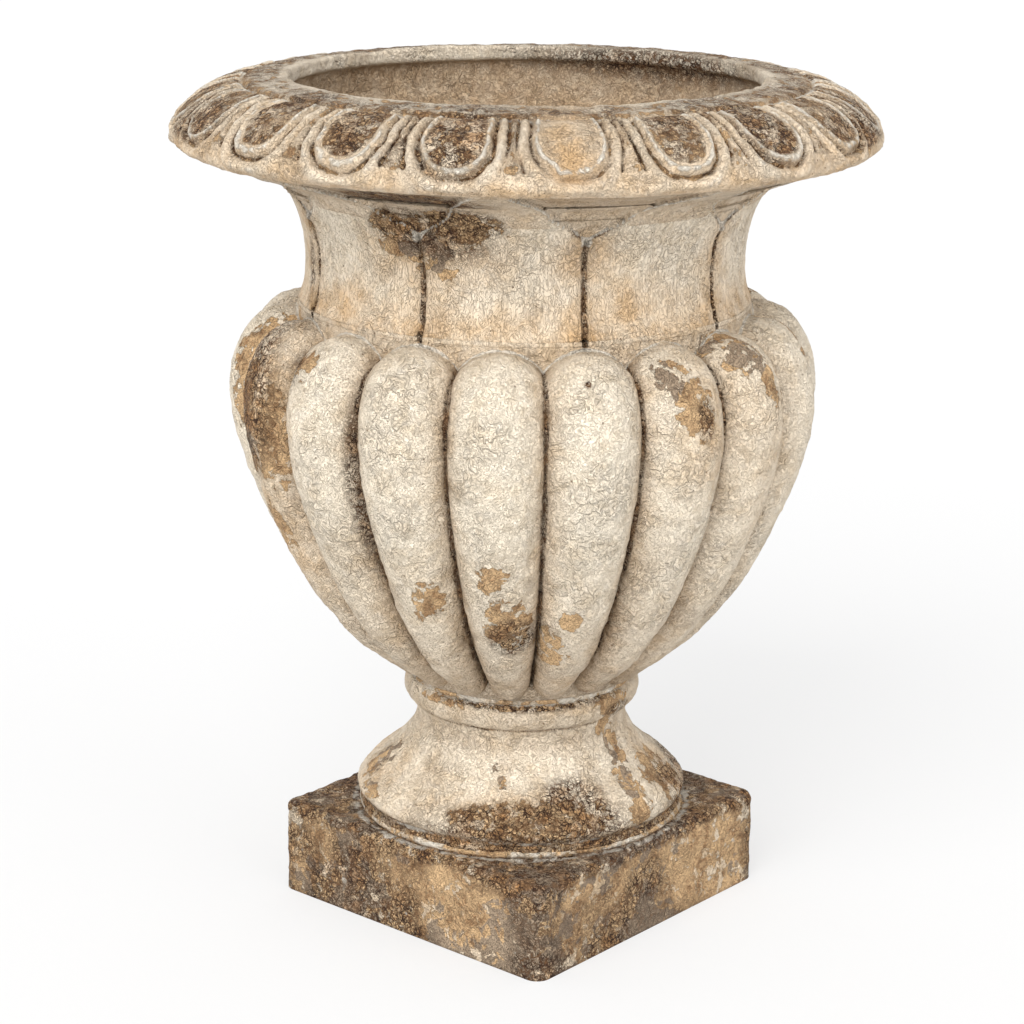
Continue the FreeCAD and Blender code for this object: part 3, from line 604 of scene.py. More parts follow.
def make_bowl(material):
    angles = crowded(LOBES, 44, LOBE_TURN, 0.45)
    offset = offset_in_repeat(angles, LOBES, LOBE_TURN)[None, :]
    radius, height = lobed_surface(*crest_line(1.8), offset)
    rows = len(radius)
    seat_heights = np.arange(414.0, BOWL_TOP + 0.01, 1.2)
    seat = turned(np.column_stack([np.full(len(seat_heights), SEAT_RADIUS), seat_heights]), angles)
    inside = walked([tuple(place) for place in bowl_inside()], lambda place: 9.0)
    last = np.argmin(np.hypot(inside[:, 0] - TIE_HOLE, inside[:, 1] - BOWL_BASE))
    hollow = turned(inside[1:last + 1], angles)
    lobes = np.stack([radius * np.cos(angles), radius * np.sin(angles), height], axis=-1)
    core = turned(np.array(TIP_CORE, float), angles)
    grid = np.concatenate([lobes, seat, hollow, core])
    seated = slice(rows, rows + len(seat_heights))
    out = normals(grid)

    # where the lobes meet the seat under the neck
    belly = np.argmax(radius[:, 0])
    meeting = belly + np.argmax(radius[belly:] < SEAT_RADIUS, axis=0)
    meet_height = height[meeting, np.arange(len(angles))][None, :]
    over = np.arange(rows)[:, None] > belly
    seam = bell(radius - SEAT_RADIUS, 1.7) * over
    seat_seam = bell(seat[..., 2] - meet_height - 0.5, 1.3)

    gap = (LOBE_EDGE - np.abs(offset)) * radius
    relief = coat(grid, 11, 1.0, 1.0)
    relief[:rows] *= 1 - 0.75 * bell(gap, 2.5)
    relief[:rows] += seam * (0.9 + 1.2 * noise(lobes, 7.0, 77))
    relief[:6] *= 0.3
    panel_seam = bell(offset_in_repeat(angles, PANELS, PANEL_TURN)[None, :] * SEAT_RADIUS, 1.6)
    relief[seated] = coat(seat, 41, 0.8, 0.55) + seat_seam * (0.9 + 1.2 * noise(seat, 7.0, 77)) - 3.0 * panel_seam
    relief[rows + len(seat_heights):] *= 0.5
    grid = pushed(grid, np.where(np.arange(len(grid))[:, None, None] < rows, out, level_out(grid)), relief)

    muck = rough(lobes, 30.0, 91)
    low = 1 - step_up(height, 200.0, 330.0)
    # grooves between the lobes: painted shade with dirt, darkest in the groove and fading wide across the lobes' sides
    grime = bell(gap, 3.0) * (0.55 + 0.3 * muck) + 0.30 * bell(gap, 11.0) * (0.7 + 0.5 * muck)
    grime = grime + 0.16 * low + 0.3 * bell(height - 178, 12) + 0.16 * step_up(muck, 0.4, 1.0)
    # painted shade where the crests curl in to meet the seat under the neck
    grime = grime + 0.3 * bell(radius - SEAT_RADIUS - 4, 5.0) * over
    # a thin dark line in each groove: painted shade with dirt
    dark = 1.1 * bell(gap, 1.6) * (0.7 + 0.6 * rough(lobes, 12.0, 93))
    layers = {layer: np.zeros(grid.shape[:2]) for layer in ("grime", "dark", "lime", "warm")}
    layers["grime"][:rows], layers["dark"][:rows] = grime, dark
    # the warm tint beside the grooves is part of the painted shade there
    layers["warm"][:rows] = 0.04 + 0.35 * bell(gap, 9.0) + 0.2 * low
    layers["lime"][:rows] = 0.95 * seam + 0.45 * bell(height - 177, 2.5)
    layers["lime"][seated] = 0.95 * seat_seam
    layers["dark"][seated] = panel_seam * (1 - seat_seam)
    layers["grime"][seated] = 0.16
    layers["warm"][seated] = 0.5
    # painted shade inside the hollow
    layers["grime"][rows + len(seat_heights):] = 0.7
    paint = painted(grid, also_behind(BOWL_PATCHES), **layers)
    return mesh_piece("lobed_bowl", grid, paint, "bowl", material)


# ---------------------------------------------------------------- neck

NECK_KNOTS = ((453, 161.2), (464, 157.4), (476, 156), (488, 155.8), (500, 157), (512, 159.6),
              (524.6, 164.4), (531, 168), (538, 173.5))
FORK_HEIGHT = 519.5
FORK_SLOPE = 0.68
# From the neck's top the arms run on under the rim: degrees from the seam, at a radius.
ARM_KNOTS = ((160, 2.5), (165, 4.5), (168.5, 6.0), (171, 7.4), (173.5, 8.8), (180, 9.9), (205, 13.2), (228, 16.4), (240, 18.0))

NECK_PATCHES = [
    Patch("bare", 10, 527, 24, 12, 1.0), Patch("dark", 12, 527, 26, 13, 0.8), Patch("bare", 25, 529, 32, 15, 1.0),
    Patch("dark", 26, 531, 26, 12, 0.85), Patch("bare", 18, 511, 20, 16, 0.95), Patch("grey", 18, 516, 30, 20, 0.9),
    Patch("bare", 7, 514, 14, 12, 0.8), Patch("bare", 22, 497, 11, 10, 0.8), Patch("warm", 18, 512, 50, 32, 0.95),
    Patch("dark", 20, 520, 46, 22, 0.42), Patch("warm", -8, 465, 30, 22, 1.0), Patch("warm", 20, 462, 60, 14, 0.5), Patch("warm", 55, 508, 24, 24, 0.9),
    Patch("warm", 66, 472, 36, 24, 0.85), Patch("warm", 80, 462, 32, 20, 0.8), Patch("warm", 45, 458, 60, 10, 0.65),
    Patch("bare", -28, 515, 14, 20, 0.5), Patch("warm", -30, 500, 22, 40, 0.8), Patch("warm", 95, 500, 20, 40, 0.6),
    Patch("dark", -30, 480, 8, 30, 0.4),
]


def make_neck(material):
    angles = crowded(PANELS, 80, PANEL_TURN + math.pi / PANELS, 0.3)
    heights = np.arange(NECK_BASE, NECK_TOP + 0.01, 1.4)
    radius = curve_through(NECK_KNOTS, heights)
    outer_line = [(r, z) for r, z in zip(radius, heights)]
    inner_line = [(r - NECK_WALL, z) for r, z in zip(radius[::-5], heights[::-5])]
    outline = np.array(outer_line + inner_line)
    rows = len(heights)
    grid = turned(outline, angles)
    out = normals(grid)
    offset = offset_in_repeat(angles, PANELS, PANEL_TURN)[None, :]
    across = offset * outline[:, 0][:, None]
    height = outline[:, 1][:, None]
    wobble = 0.9 * noise(np.stack(np.broadcast_arrays(across * 0 + 3.0, height, height), -1), 11.0, 31)
    across = across + wobble
    arm = FORK_HEIGHT + FORK_SLOPE * np.abs(across) + 0.9 * noise(grid, 9.0, 33)
    above = (height - arm) * 0.83
    below_fork = 1 - step_up(height, FORK_HEIGHT - 1, FORK_HEIGHT + 3)
    seam = bell(across, 1.5 + 0.4 * noise(grid, 8.0, 37)) * below_fork
    edge = bell(above, 1.5) * step_up(height, FORK_HEIGHT - 4, FORK_HEIGHT + 1)
    knot = bell(np.hypot(across, height - FORK_HEIGHT), 4.0)
    outside = np.zeros((len(outline), 1))
    outside[:rows] = 1
    relief = coat(grid, 41, 0.8, 0.55)
    relief = relief - outside * (3.6 * seam + 1.8 * step_up(above, -0.6, 1.8) + 0.9 * bell(above + 0.2, 1.1))
    relief = relief + outside * (0.9 * knot + 0.9 * bell(above + 2.8, 1.8) * (1 - seam))
    relief = relief * (0.5 + 0.5 * outside)
    grid = pushed(grid, out, relief)
    muck = rough(grid, 26.0, 51)
    # painted shade in the recessed spandrels above the arms and along their edges, which lie under the rim
    grime = outside * (0.35 * bell(across, 7.0) * below_fork + 0.3 * step_up(above, 0, 2) + 0.4 * edge)
    # darker at the neck's top: painted shade under the rim
    grime = grime + outside * (0.22 * step_up(muck, 0.3, 1.0) + 0.2 * step_up(height, 530.0, 541.0))
    # painted shade inside the neck
    grime = grime + 0.75 * (1 - outside)
    # a dark line along each arm's edge: painted shadow beside the cord
    dark = outside * (1.0 * bell(across, 1.7) * below_fork + 0.5 * bell(above, 0.9) * (1 - knot))
    lime = outside * (0.8 * bell(above - 0.6, 0.9) * step_up(height, FORK_HEIGHT - 2, FORK_HEIGHT + 2) + 0.9 * knot)
    warm = outside * (0.10 + 0.60 * bell(height - 456, 20.0) + 0.30 * bell(across, 16.0))
    paint = painted(grid, also_behind(NECK_PATCHES), grime=grime, dark=dark, lime=lime, warm=warm)
    return mesh_piece("panelled_neck", grid, paint, "neck", material)


# ---------------------------------------------------------------- rim

SOFFIT = (239.0, RIM_BASE + 21.0)
OVOLO_FOOT = (246.4, RIM_BASE + 35.0)
OVOLO_TOP = (199.0, RIM_TOP - 5.0)
BAND = (196.0, RIM_TOP - 2.0)
LIP_RADIUS = 166.0
LIP_HEIGHT = 10.0
THROAT_RADIUS = 173.0
THROAT_FOOT = (149.3, RIM_BASE + 16.0)
CARVED_RADIUS = 225.0
EGG_HALF = 22.5
EGG_MIDDLE = 24.0

RIM_PATCHES = [
    Patch("warm", 47.6, 585, 30, 40, 1.0), Patch("dark", 29.6, 592, 26, 20, 0.7), Patch("bare", 29.6, 596, 22, 14, 0.6),
    Patch("dark", 83, 592, 30, 22, 0.6), Patch("dark", -30, 585, 60, 24, 0.6), Patch("dark", 112, 585, 60, 24, 0.65), Patch("bare", -40, 580, 80, 30, 0.4),
    Patch("bare", 105, 580, 60, 30, 0.45), Patch("dark", 40, 606, 60, 6, 0.35), Patch("dark", 185, 600, 130, 16, 0.45),
    Patch("warm", 100, 575, 90, 18, 0.8), Patch("warm", -20, 575, 90, 18, 0.8), Patch("bare", 18, 550, 60, 14, 0.75),
    Patch("dark", 18, 550, 54, 12, 0.6), Patch("grey", 18, 552, 60, 14, 0.7),
]


def arms_under(grid, radius, angles):
    """Distance from the neck's arms where they run on under the rim, and their relief."""
    away = np.abs(np.degrees(offset_in_repeat(angles, PANELS, PANEL_TURN)))[None, :]
    beside = away - curve_through(ARM_KNOTS, radius[:, 0])[:, None]
    beside = np.radians(beside) * radius * 0.8 + 0.8 * noise(grid, 9.0, 33)
    relief = 1.0 * bell(beside, 1.4) - 1.2 * bell(beside + 2.2, 1.2) - 1.6 * step_up(-beside, 0.5, 3.0)
    return beside, relief


def carving(across, down, place):
    """Height of the egg-and-dart ornament over the face that it is carved in, and its parts."""
    wobble = 0.9 * noise(place, 13.0, 61) + 0.7 * noise(place, 5.5, 62)
    side = np.abs(across)
    below = np.maximum(down - EGG_MIDDLE, 0) / 33.5
    above = np.maximum(EGG_MIDDLE - down, 0) / 46.0
    oval = (side / EGG_HALF) ** 2.4 + below**2.4 + above**2.4
    away = (oval ** (1 / 2.4) - 1) * EGG_HALF + wobble
    egg = step_up(-away, 3.6, 5.6)
    crown = np.clip(-away / EGG_HALF, 0, 1) ** 0.6
    border = bell(away + 2.1, 1.9)
    channel = bell(away - 1.9, 1.5)
    frame_ridge = bell(away - 6.3, 3.0) * np.clip(0.85 + 0.35 * noise(place, 11.0, 65), 0, 1.1)
    to_dart = math.pi / EGGS * CARVED_RADIUS - side
    beyond = step_up(away, 8.8, 9.6)
    tip = down + 0.05 * to_dart**2 + wobble
    ended = step_up(tip, 55.0, 59.0)
    crevice = bell(away - 10.0, 1.2) * (1 - ended) * np.clip(0.75 + 0.5 * noise(place, 15.0, 64), 0, 1)
    dart = step_up(away, 10.6, 12.6) * (1 - ended)
    height = egg * (0.4 + 1.6 * crown) + 2.5 * border - 3.2 * channel + 2.4 * frame_ridge
    height = height - 3.0 * crevice + 1.6 * dart
    fade = step_up(down, -1.5, 3.0) * (1 - step_up(down, 65.0, 69.5))
    parts = {
        "egg": egg * fade, "border": border * fade, "channel": channel * fade,
        "frame": frame_ridge * fade, "gap": np.clip(crevice, 0, 1) * fade, "dart": dart * fade,
    }
    return height * fade, parts


def rim_outline():
    points = [THROAT_FOOT, (149.3, RIM_BASE), (173.3, RIM_BASE)]
    points += [SOFFIT] + arc(SOFFIT, OVOLO_FOOT, 4.7)[1:]
    points += arc(OVOLO_FOOT, OVOLO_TOP, 6.7)[1:]
    ledge = RIM_TOP - LIP_HEIGHT
    points += [BAND, (LIP_RADIUS, RIM_TOP), (LIP_RADIUS, ledge), (THROAT_RADIUS, ledge - 2.0)]
    points += arc((THROAT_RADIUS, RIM_BASE + 36.0), THROAT_FOOT, -2.5)[:-1]
    return [tuple(point) for point in points]


def rim_spacing(place):
    radius, height = place
    if height > 558.0 and (radius > 240.0 or (radius > 197.0 and height > 575.0)):
        return 1.05
    return 2.2 if height > 597.0 else 3.4


def make_rim(material):
    angles = evenly(1280, EGG_TURN)
    outline = eased(walked(rim_outline(), rim_spacing), 2)
    steps = np.hypot(*np.diff(outline, axis=0).T)
    along = np.concatenate([[0], np.cumsum(steps)])
    top = np.argmin(np.hypot(outline[:, 0] - OVOLO_TOP[0], outline[:, 1] - OVOLO_TOP[1]))
    down = (along[top] - along)[:, None]
    grid = turned(outline, angles)
    out = normals(grid)
    across = offset_in_repeat(angles, EGGS, EGG_TURN)[None, :] * CARVED_RADIUS
    radius, height = outline[:, 0][:, None], outline[:, 1][:, None]
    on_face = step_up(radius, 190.0, 199.0) * step_up(height, 558.0, 564.0)
    carved, parts = carving(across, down, grid)
    on_top = step_up(height, 603.0, 607.0) * step_up(radius, 160.0, 168.0)
    soffit = (1 - step_up(height, 559.0, 563.0)) * step_up(radius, 172.0, 174.0)
    arm, arm_relief = arms_under(grid, radius, angles)
    cord = bell(arm, 1.0) * soffit
    relief = coat(grid, 71, 1.0, 0.8) * (1 - soffit) + coat(grid, 41, 0.8, 0.55) * soffit + on_face * carved
    relief = relief + soffit * arm_relief
    streaks = noise(grid * np.array([1, 1, 1]), 9.0, 73) * 0.7
    relief = relief + on_top * streaks
    edge_line = bell(down - 0.5, 2.2)
    relief = relief - 0.8 * edge_line * on_face
    inside = (1 - step_up(radius, 174.0, 176.0)) * (1 - step_up(height, 598.0, 600.5))
    rings = noise(np.stack(np.broadcast_arrays(height * 1.0, across * 0, radius * 0 + 9.0), -1), 3.4, 75)
    relief = relief * (1 - 0.6 * inside) + inside * 0.5 * rings
    grid = pushed(grid, out, relief)
    muck = rough(grid, 22.0, 81)
    worn = on_face * (0.36 * parts["egg"] + 0.5 * parts["channel"] + 0.6 * parts["gap"] + 0.32 * parts["dart"])
    top_wear = on_top * (0.42 - 0.30 * bell(radius - LIP_RADIUS, 5.0))
    bare = worn + top_wear + 0.12 * on_face * (1 - step_up(down, 58, 64))
    # darkest in the eggs' channels and the crevices beside the darts: painted shade there, with stain
    dark = on_face * (0.38 * parts["egg"] + 0.5 * parts["channel"] + 0.85 * parts["gap"] + 0.25 * parts["dart"])
    # a dark line beside each arm under the rim: painted shadow beside the cord
    dark = dark + 0.3 * on_top + 0.35 * bell(arm + 2.4, 1.0) * soffit
    dark = dark * (1 - 0.75 * bell(radius - LIP_RADIUS, 6.0)) * (0.9 + 0.35 * muck)
    # inside the throat is darkened: painted shade
    grime = 0.22 * on_face * (1 - step_up(down, 58, 66)) + 0.3 * on_top + 0.75 * inside
    # painted shadow under the rim, darker in the recessed spandrels
    grime = grime + soffit * (0.25 + 0.3 * step_up(-arm, 0, 2)) + 0.3 * step_up(muck, 0.2, 1.0)
    lime = on_face * (0.34 * parts["frame"] + 0.62 * parts["border"]) + 0.45 * edge_line * on_face + 0.9 * cord
    # the warm tint under the rim and inside the throat: stain, and part of the painted shade there
    warm = 0.55 * on_face * (1 - 0.6 * parts["frame"]) + 0.2 * bell(height - 566, 8.0) + 0.45 * inside + 0.3 * soffit
    grey = 0.35 * on_top + 0.12 * on_face * step_up(muck, 0.0, 0.8)
    layers = {"bare": bare, "dark": dark, "grime": grime, "lime": lime, "warm": warm, "grey": grey}
    paint = painted(grid, RIM_PATCHES, **layers)
    front = bell(np.radians(bearing(grid) - 47.6) * CARVED_RADIUS, 24.0) * on_face
    for layer in ("dark", "bare"):
        paint[layer] = paint[layer] * (1 - 0.55 * front)
    ridge = np.clip(parts["frame"] + parts["border"], 0, 1) * on_face
    for layer, kept in (("dark", 0.35), ("bare", 0.6)):
        paint[layer] = paint[layer] * (1 - (1 - kept) * ridge)
    below = step_up(down + 2.0 * muck, 57.0, 64.0) * on_face
    paint["dark"] = paint["dark"] * (1 - 0.8 * below)
    return mesh_piece("carved_rim", grid, paint, "rim", material)


# ---------------------------------------------------------------- foot and plinth

FOOT_KNOTS = ((73, 120), (79, 118.5), (82, 120.5), (86, 122), (91.5, 118.5), (97.6, 112.5), (104, 104.5),
              (110, 97), (116, 90.5), (122, 85.5), (128, 81.5), (134, 78.6), (140, 77), (145, 77.3),
              (149, 79), (150.6, 79.4), (153, 82.6), (158, 85.6), (164, 86.2), (169, 84.8), (172, 82))

FOOT_PATCHES = [
    Patch("bare", 90, 148, 9, 12), Patch("bare", 96, 125, 9, 20), Patch("bare", 91, 104, 11, 18), Patch("grey", 92, 118, 18, 40, 0.6),
    Patch("bare", 86, 88, 14, 9), Patch("dark", 46, 93, 60, 10, 0.95), Patch("dark", 62, 102, 26, 14, 0.7),
    Patch("bare", 46, 94, 70, 15, 0.8), Patch("dark", 45, 86, 90, 6, 0.6), Patch("warm", 45, 96, 80, 16, 0.9), Patch("bare", 28.8, 124, 4.5, 4, 0.95),
    Patch("bare", 32.5, 115, 5, 4.5, 0.95), Patch("grey", 30, 120, 14, 14, 0.8), Patch("bare", -40, 104, 18, 16, 0.75),
    Patch("grey", -38, 106, 30, 26, 0.7), Patch("bare", -28, 90, 24, 9, 0.6), Patch("bare", 114, 100, 26, 22, 0.85),
    Patch("dark", 116, 96, 22, 14, 0.5), Patch("warm", 118, 104, 30, 30, 0.7), Patch("bare", 90, 164, 20, 9, 0.9),
    Patch("dark", 95, 158, 16, 6, 0.55), Patch("warm", 70, 168, 60, 8, 0.6), Patch("warm", 10, 166, 50, 8, 0.45),
    Patch("warm", -32, 100, 40, 30, 0.6), Patch("bare", 45, 171, 70, 4, 0.8), Patch("dark", 45, 171, 80, 5, 0.55),
    Patch("bare", -5, 168, 40, 6, 0.6), Patch("grime", 45, 160, 120, 12, 0.35),
]


def make_foot(material):
    angles = evenly(540, 0.0)
    heights = np.concatenate([np.arange(73, 143, 1.35), np.arange(143.5, 172.1, 1.0)])
    radius = curve_through(FOOT_KNOTS, heights)
    inner = [(TIE_HOLE, FOOT_TOP), (TIE_HOLE, FOOT_BASE)]
    ends = [(r, FOOT_TOP) for r in (70.0, 50.0, 30.0)] + inner + [(r, FOOT_BASE) for r in (40.0, 75.0, 105.0)]
    outline = np.array([(r, z) for r, z in zip(radius, heights)] + ends)
    grid = turned(outline, angles)
    out = normals(grid)
    relief = coat(grid, 101, 0.8, 0.75)
    relief[len(heights) - 1:] *= 0.1
    relief[0] *= 0.3
    grid = pushed(grid, out, relief)
    muck = rough(grid, 24.0, 111)
    height = outline[:, 1][:, None]
    # darker in the profile's two creases, at the waist and towards the bottom
    crease = bell(height - 150.5, 1.6) + bell(height - 79.5, 2.0)
    grime = 0.5 * crease + 0.3 * step_up(muck, 0.3, 1.0) + 0.35 * bell(height - 140, 8.0)
    grime = grime + 0.3 * (1 - step_up(height, 78.0, 90.0))
    dark = 0.45 * crease * (0.7 + 0.6 * muck) + 0.0 * height
    lime = 0.6 * bell(height - 79.5, 2.4) + 0.35 * bell(height - 151, 1.2) + 0.6 * bell(height - FOOT_TOP, 2.4)
    lime = lime * (0.75 + 0.6 * muck)
    lowest = 1 - step_up(height + 3.0 * muck, 78.0, 84.0)
    layers = {"grime": grime + 0.25 * lowest, "dark": dark + 0.4 * lowest, "lime": lime, "bare": 0.5 * lowest + 0.2 * step_up(muck, 0.3, 1.0), "warm": 0.25 + 0.5 * lowest}
    paint = painted(grid, also_behind(FOOT_PATCHES), **layers)
    return mesh_piece("socle_foot", grid, paint, "foot", material)


PLINTH_HALF = 127.0
CORNER_ROUND = 11.0
EDGE_ROUND = 6.0


def rounded_square(columns):
    """Points round a square with rounded corners, and the directions out from it."""
    flat = PLINTH_HALF - CORNER_ROUND
    side, corner = 2 * flat, math.pi / 2 * CORNER_ROUND
    travel = np.arange(columns) / columns * 4 * (side + corner)
    quarter, rest = np.divmod(travel, side + corner)
    turn = np.maximum(rest - side, 0) / CORNER_ROUND
    along = np.minimum(rest, side) - flat
    x = flat + CORNER_ROUND * np.cos(turn)
    y = np.where(rest < side, along, flat + CORNER_ROUND * np.sin(turn))
    angle = quarter * math.pi / 2
    place = np.stack([x * np.cos(angle) - y * np.sin(angle), x * np.sin(angle) + y * np.cos(angle)], -1)
    out = np.stack([np.cos(angle + turn), np.sin(angle + turn)], -1)
    return place, out


def plinth_rows():
    """(how far in from the side, height) down the section: side, rounded edge, top, hole, underside."""
    rows = [(0.0, z) for z in np.arange(0.0, PLINTH_TOP - EDGE_ROUND, 1.9)]
    for turn in np.linspace(0, math.pi / 2, 7):
        rows.append((EDGE_ROUND * (1 - math.cos(turn)), PLINTH_TOP - EDGE_ROUND * (1 - math.sin(turn))))
    rows += [(inset, PLINTH_TOP) for inset in np.arange(EDGE_ROUND + 1.8, 40.0, 1.8)]
    rows += [(inset, PLINTH_TOP) for inset in (55.0, 75.0, 95.0)]
    return rows


def make_plinth(material):
    place, out = rounded_square(520)
    angles = np.arctan2(place[:, 1], place[:, 0])
    rows = []
    for inset, height in plinth_rows():
        inward = max(inset - EDGE_ROUND, 0.0) / (PLINTH_HALF - EDGE_ROUND)
        edge = min(inset, EDGE_ROUND)
        flat = (place - out * edge) * (1 - inward)
        rows.append(np.column_stack([flat, np.full(len(flat), height)]))
    for radius, height in ((TIE_HOLE, PLINTH_TOP), (TIE_HOLE, 30.0), (30.0, 30.0), (30.0, 0.0), (70.0, 0.0)):
        ring = np.column_stack([radius * np.cos(angles), radius * np.sin(angles), np.full(len(angles), height)])
        rows.append(ring)
    grid = np.stack(rows)
    facing = normals(grid)
    solid = len(plinth_rows())
    relief = coat(grid, 131, 1.0, 0.9) - 0.5
    relief[solid:] *= 0.1
    corner = np.abs(np.abs(place[:, 0]) - np.abs(place[:, 1]))
    chips = step_up(rough(grid, 14.0, 141), 0.55, 1.1) * bell(grid[..., 2] - PLINTH_TOP, 9.0)
    relief = relief - 2.0 * chips
    relief[0] = relief[1]
    grid = pushed(grid, facing, relief)
    grid[..., 2] = np.clip(grid[..., 2], 0.0, None)
    grid[0, :, 2] = 0.0
    muck = rough(grid, 30.0, 151)
    x, y, height = grid[..., 0], grid[..., 1], grid[..., 2]
    on_top = step_up(height, PLINTH_TOP - 5, PLINTH_TOP - 1)
    ring = np.hypot(x, y)
    arris = bell(height - (PLINTH_TOP - 4), 5.0) * (1 - step_up(PLINTH_HALF - np.maximum(np.abs(x), np.abs(y)), 6, 14))
    front = bell(np.hypot(x - 127, y + 127), 90.0)
    bare = 0.82 + 0.34 * muck + 0.10 * on_top
    dark = 0.17 + 0.26 * rough(grid, 42.0, 161) + 0.30 * arris + 0.25 * on_top + 0.14 * front
    lime = 0.55 * bell(ring - 124, 4.0) * on_top + 0.5 * step_up(rough(grid, 8.0, 163), 0.5, 1.2)
    grey = 0.36 + 0.5 * rough(grid, 55.0, 165) + 0.25 * on_top
    grime = 0.1 + 0.2 * on_top + 0.25 * muck
    warm = 0.7 + 0.2 * muck
    layers = {"bare": bare, "dark": dark, "lime": lime, "grey": grey, "grime": grime, "warm": warm}
    paint = painted(grid, [], **layers)
    return mesh_piece("square_plinth", grid, paint, "plinth", material)


# ---------------------------------------------------------------- mortar beds

def make_bed(name, node, level, outer, inner, proud, material):
    """A bed of lime mortar, squeezed out a little and struck off unevenly."""
    angles = evenly(360, 0.0)
    reach = 1.6
    points = [(inner, level), (outer, level)]
    points += arc((outer, level - reach), (outer, level + 3.0 + reach), proud + 0.8, 8)
    points += [(outer, level + 3.0), (inner, level + 3.0)]
    outline = np.array(points, float)
    grid = turned(outline, angles)
    radius = outline[:, 0][:, None]
    out = np.stack(np.broadcast_arrays(np.cos(angles), np.sin(angles), angles * 0), -1)[None, :, :]
    shown = step_up(radius, outer + 0.1, outer + 0.8) * np.ones(grid.shape[:2])
    lumps = 0.9 * rough(grid, 9.0, int(level)) + 0.7 * noise(grid, 26.0, int(level) + 3)
    grid = grid + out * (shown * lumps)[..., None]
    smear = rough(grid, 16.0, int(level) + 5)
    paint = painted(grid, [], lime=0.4 + 0.35 * smear, grime=0.35 - 0.2 * smear, bare=0.5 - 0.4 * smear, warm=0.4)
    return mesh_piece(name, grid, paint, node, material)


LOWER_BED = ((137.5, 450), (161.4, 450), (161.4, 450.75), (161.4, 451.5), (161.4, 452.25), (161.4, 453), (137.5, 453))
UPPER_BED = ((150, 538), (163, 532), (166.3, 529.0), (168.8, 531.5), (170.9, 533.9), (172.8, 536.0), (174.4, 537.8),
             (175.9, 539.4), (177.8, 540.8), (180.3, 542.1), (183.3, 543.5), (186.8, 545.0), (191.4, 547.2), (194, 549),
             (170, 544), (150, 541))


def make_flush_bed(name, node, outline, material):
    """A bed rubbed flush with the castings beside it and coated over with them."""
    angles = evenly(1080, 0.0)
    outline = np.array(outline, float)
    grid = turned(outline, angles)
    radius = outline[:, 0][:, None]
    upper = outline[0, 1] > NECK_BASE
    seam = bell(offset_in_repeat(angles, PANELS, PANEL_TURN)[None, :] * radius, 1.5) * (not upper)
    arm, arm_relief = arms_under(grid, radius, angles)
    relief = coat(grid, 41, 0.8, 0.55) - 3.2 * seam + arm_relief * upper
    shown = step_up(radius, 155.0, 160.0)
    grid = pushed(grid, normals(grid), relief * shown)
    lime = 0.8 * bell(arm, 1.0) * upper
    # painted shade in the recessed spandrels under the rim
    grime = 0.16 + 0.12 * step_up(-arm, 0, 2) * upper
    paint = painted(grid, also_behind(NECK_PATCHES), grime=grime, lime=lime, dark=seam, warm=np.full(grid.shape[:2], 0.4))
    return mesh_piece(name, grid, paint, node, material)


# ---------------------------------------------------------------- stage

def view_camera():
    """Camera at the photograph's viewpoint."""
    right = Vector((math.cos(VIEW_YAW), math.sin(VIEW_YAW), 0))
    ahead = Vector((-math.sin(VIEW_YAW), math.cos(VIEW_YAW), 0))
    up = Vector((0, 0, 1))
    look = ahead * math.cos(VIEW_PITCH) - up * math.sin(VIEW_PITCH)
    top = ahead * math.sin(VIEW_PITCH) + up * math.cos(VIEW_PITCH)
    rolled_right = right * math.cos(VIEW_ROLL) + top * math.sin(VIEW_ROLL)
    rolled_top = top * math.cos(VIEW_ROLL) - right * math.sin(VIEW_ROLL)
    facing = Matrix((rolled_right, rolled_top, -look)).transposed()
    data = bpy.data.cameras.new("view")
    data.sensor_fit = "HORIZONTAL"
    data.sensor_width = SENSOR_MM
    data.lens = FOCAL_PIXELS / IMAGE_PIXELS * SENSOR_MM
    camera = bpy.data.objects.new("view", data)
    stand = Matrix.Translation(Vector((0, -VIEW_DISTANCE, VIEW_HEIGHT)))
    camera.matrix_world = Matrix.Rotation(VIEW_BEARING, 4, "Z") @ stand @ facing.to_4x4()
    bpy.context.scene.collection.objects.link(camera)
    bpy.context.scene.camera = camera


def seen_directly(nodes, links):
    """1 for rays straight from the camera, in gloss or through glass."""
    path = nodes.new("ShaderNodeLightPath")
    total = path.outputs["Is Camera Ray"]
    for name in ("Is Glossy Ray", "Is Transmission Ray"):
        node = nodes.new("ShaderNodeMath")
        node.operation = "MAXIMUM"
        links.new(total, node.inputs[0])
        links.new(path.outputs[name], node.inputs[1])
        total = node.outputs[0]
    return total


WORLD_LIGHT = 0.87
FLOOR_WHITENESS = 0.55


def pale_floor():
    mesh = bpy.data.meshes.new("floor")
    half = 30.0
    mesh.from_pydata([(-half, -half, 0), (half, -half, 0), (half, half, 0), (-half, half, 0)], [], [(0, 1, 2, 3)])
    floor = bpy.data.objects.new("floor", mesh)
    bpy.context.scene.collection.objects.link(floor)
    material = bpy.data.materials.new("pale_floor")
    material.use_nodes = True
    nodes, links = material.node_tree.nodes, material.node_tree.links
    shader = nodes["Principled BSDF"]
    shader.inputs["Base Color"].default_value = (0.74, 0.74, 0.74, 1)
    shader.inputs["Roughness"].default_value = 0.9
    shader.inputs["Specular IOR Level"].default_value = 0.0
    white = nodes.new("ShaderNodeEmission")
    white.inputs["Color"].default_value = (1, 1, 1, 1)
    share = nodes.new("ShaderNodeMath")
    share.operation = "MULTIPLY"
    links.new(seen_directly(nodes, links), share.inputs[0])
    share.inputs[1].default_value = FLOOR_WHITENESS
    blend = nodes.new("ShaderNodeMixShader")
    links.new(share.outputs[0], blend.inputs[0])
    links.new(shader.outputs[0], blend.inputs[1])
    links.new(white.outputs[0], blend.inputs[2])
    links.new(blend.outputs[0], nodes["Material Output"].inputs["Surface"])
    mesh.materials.append(material)


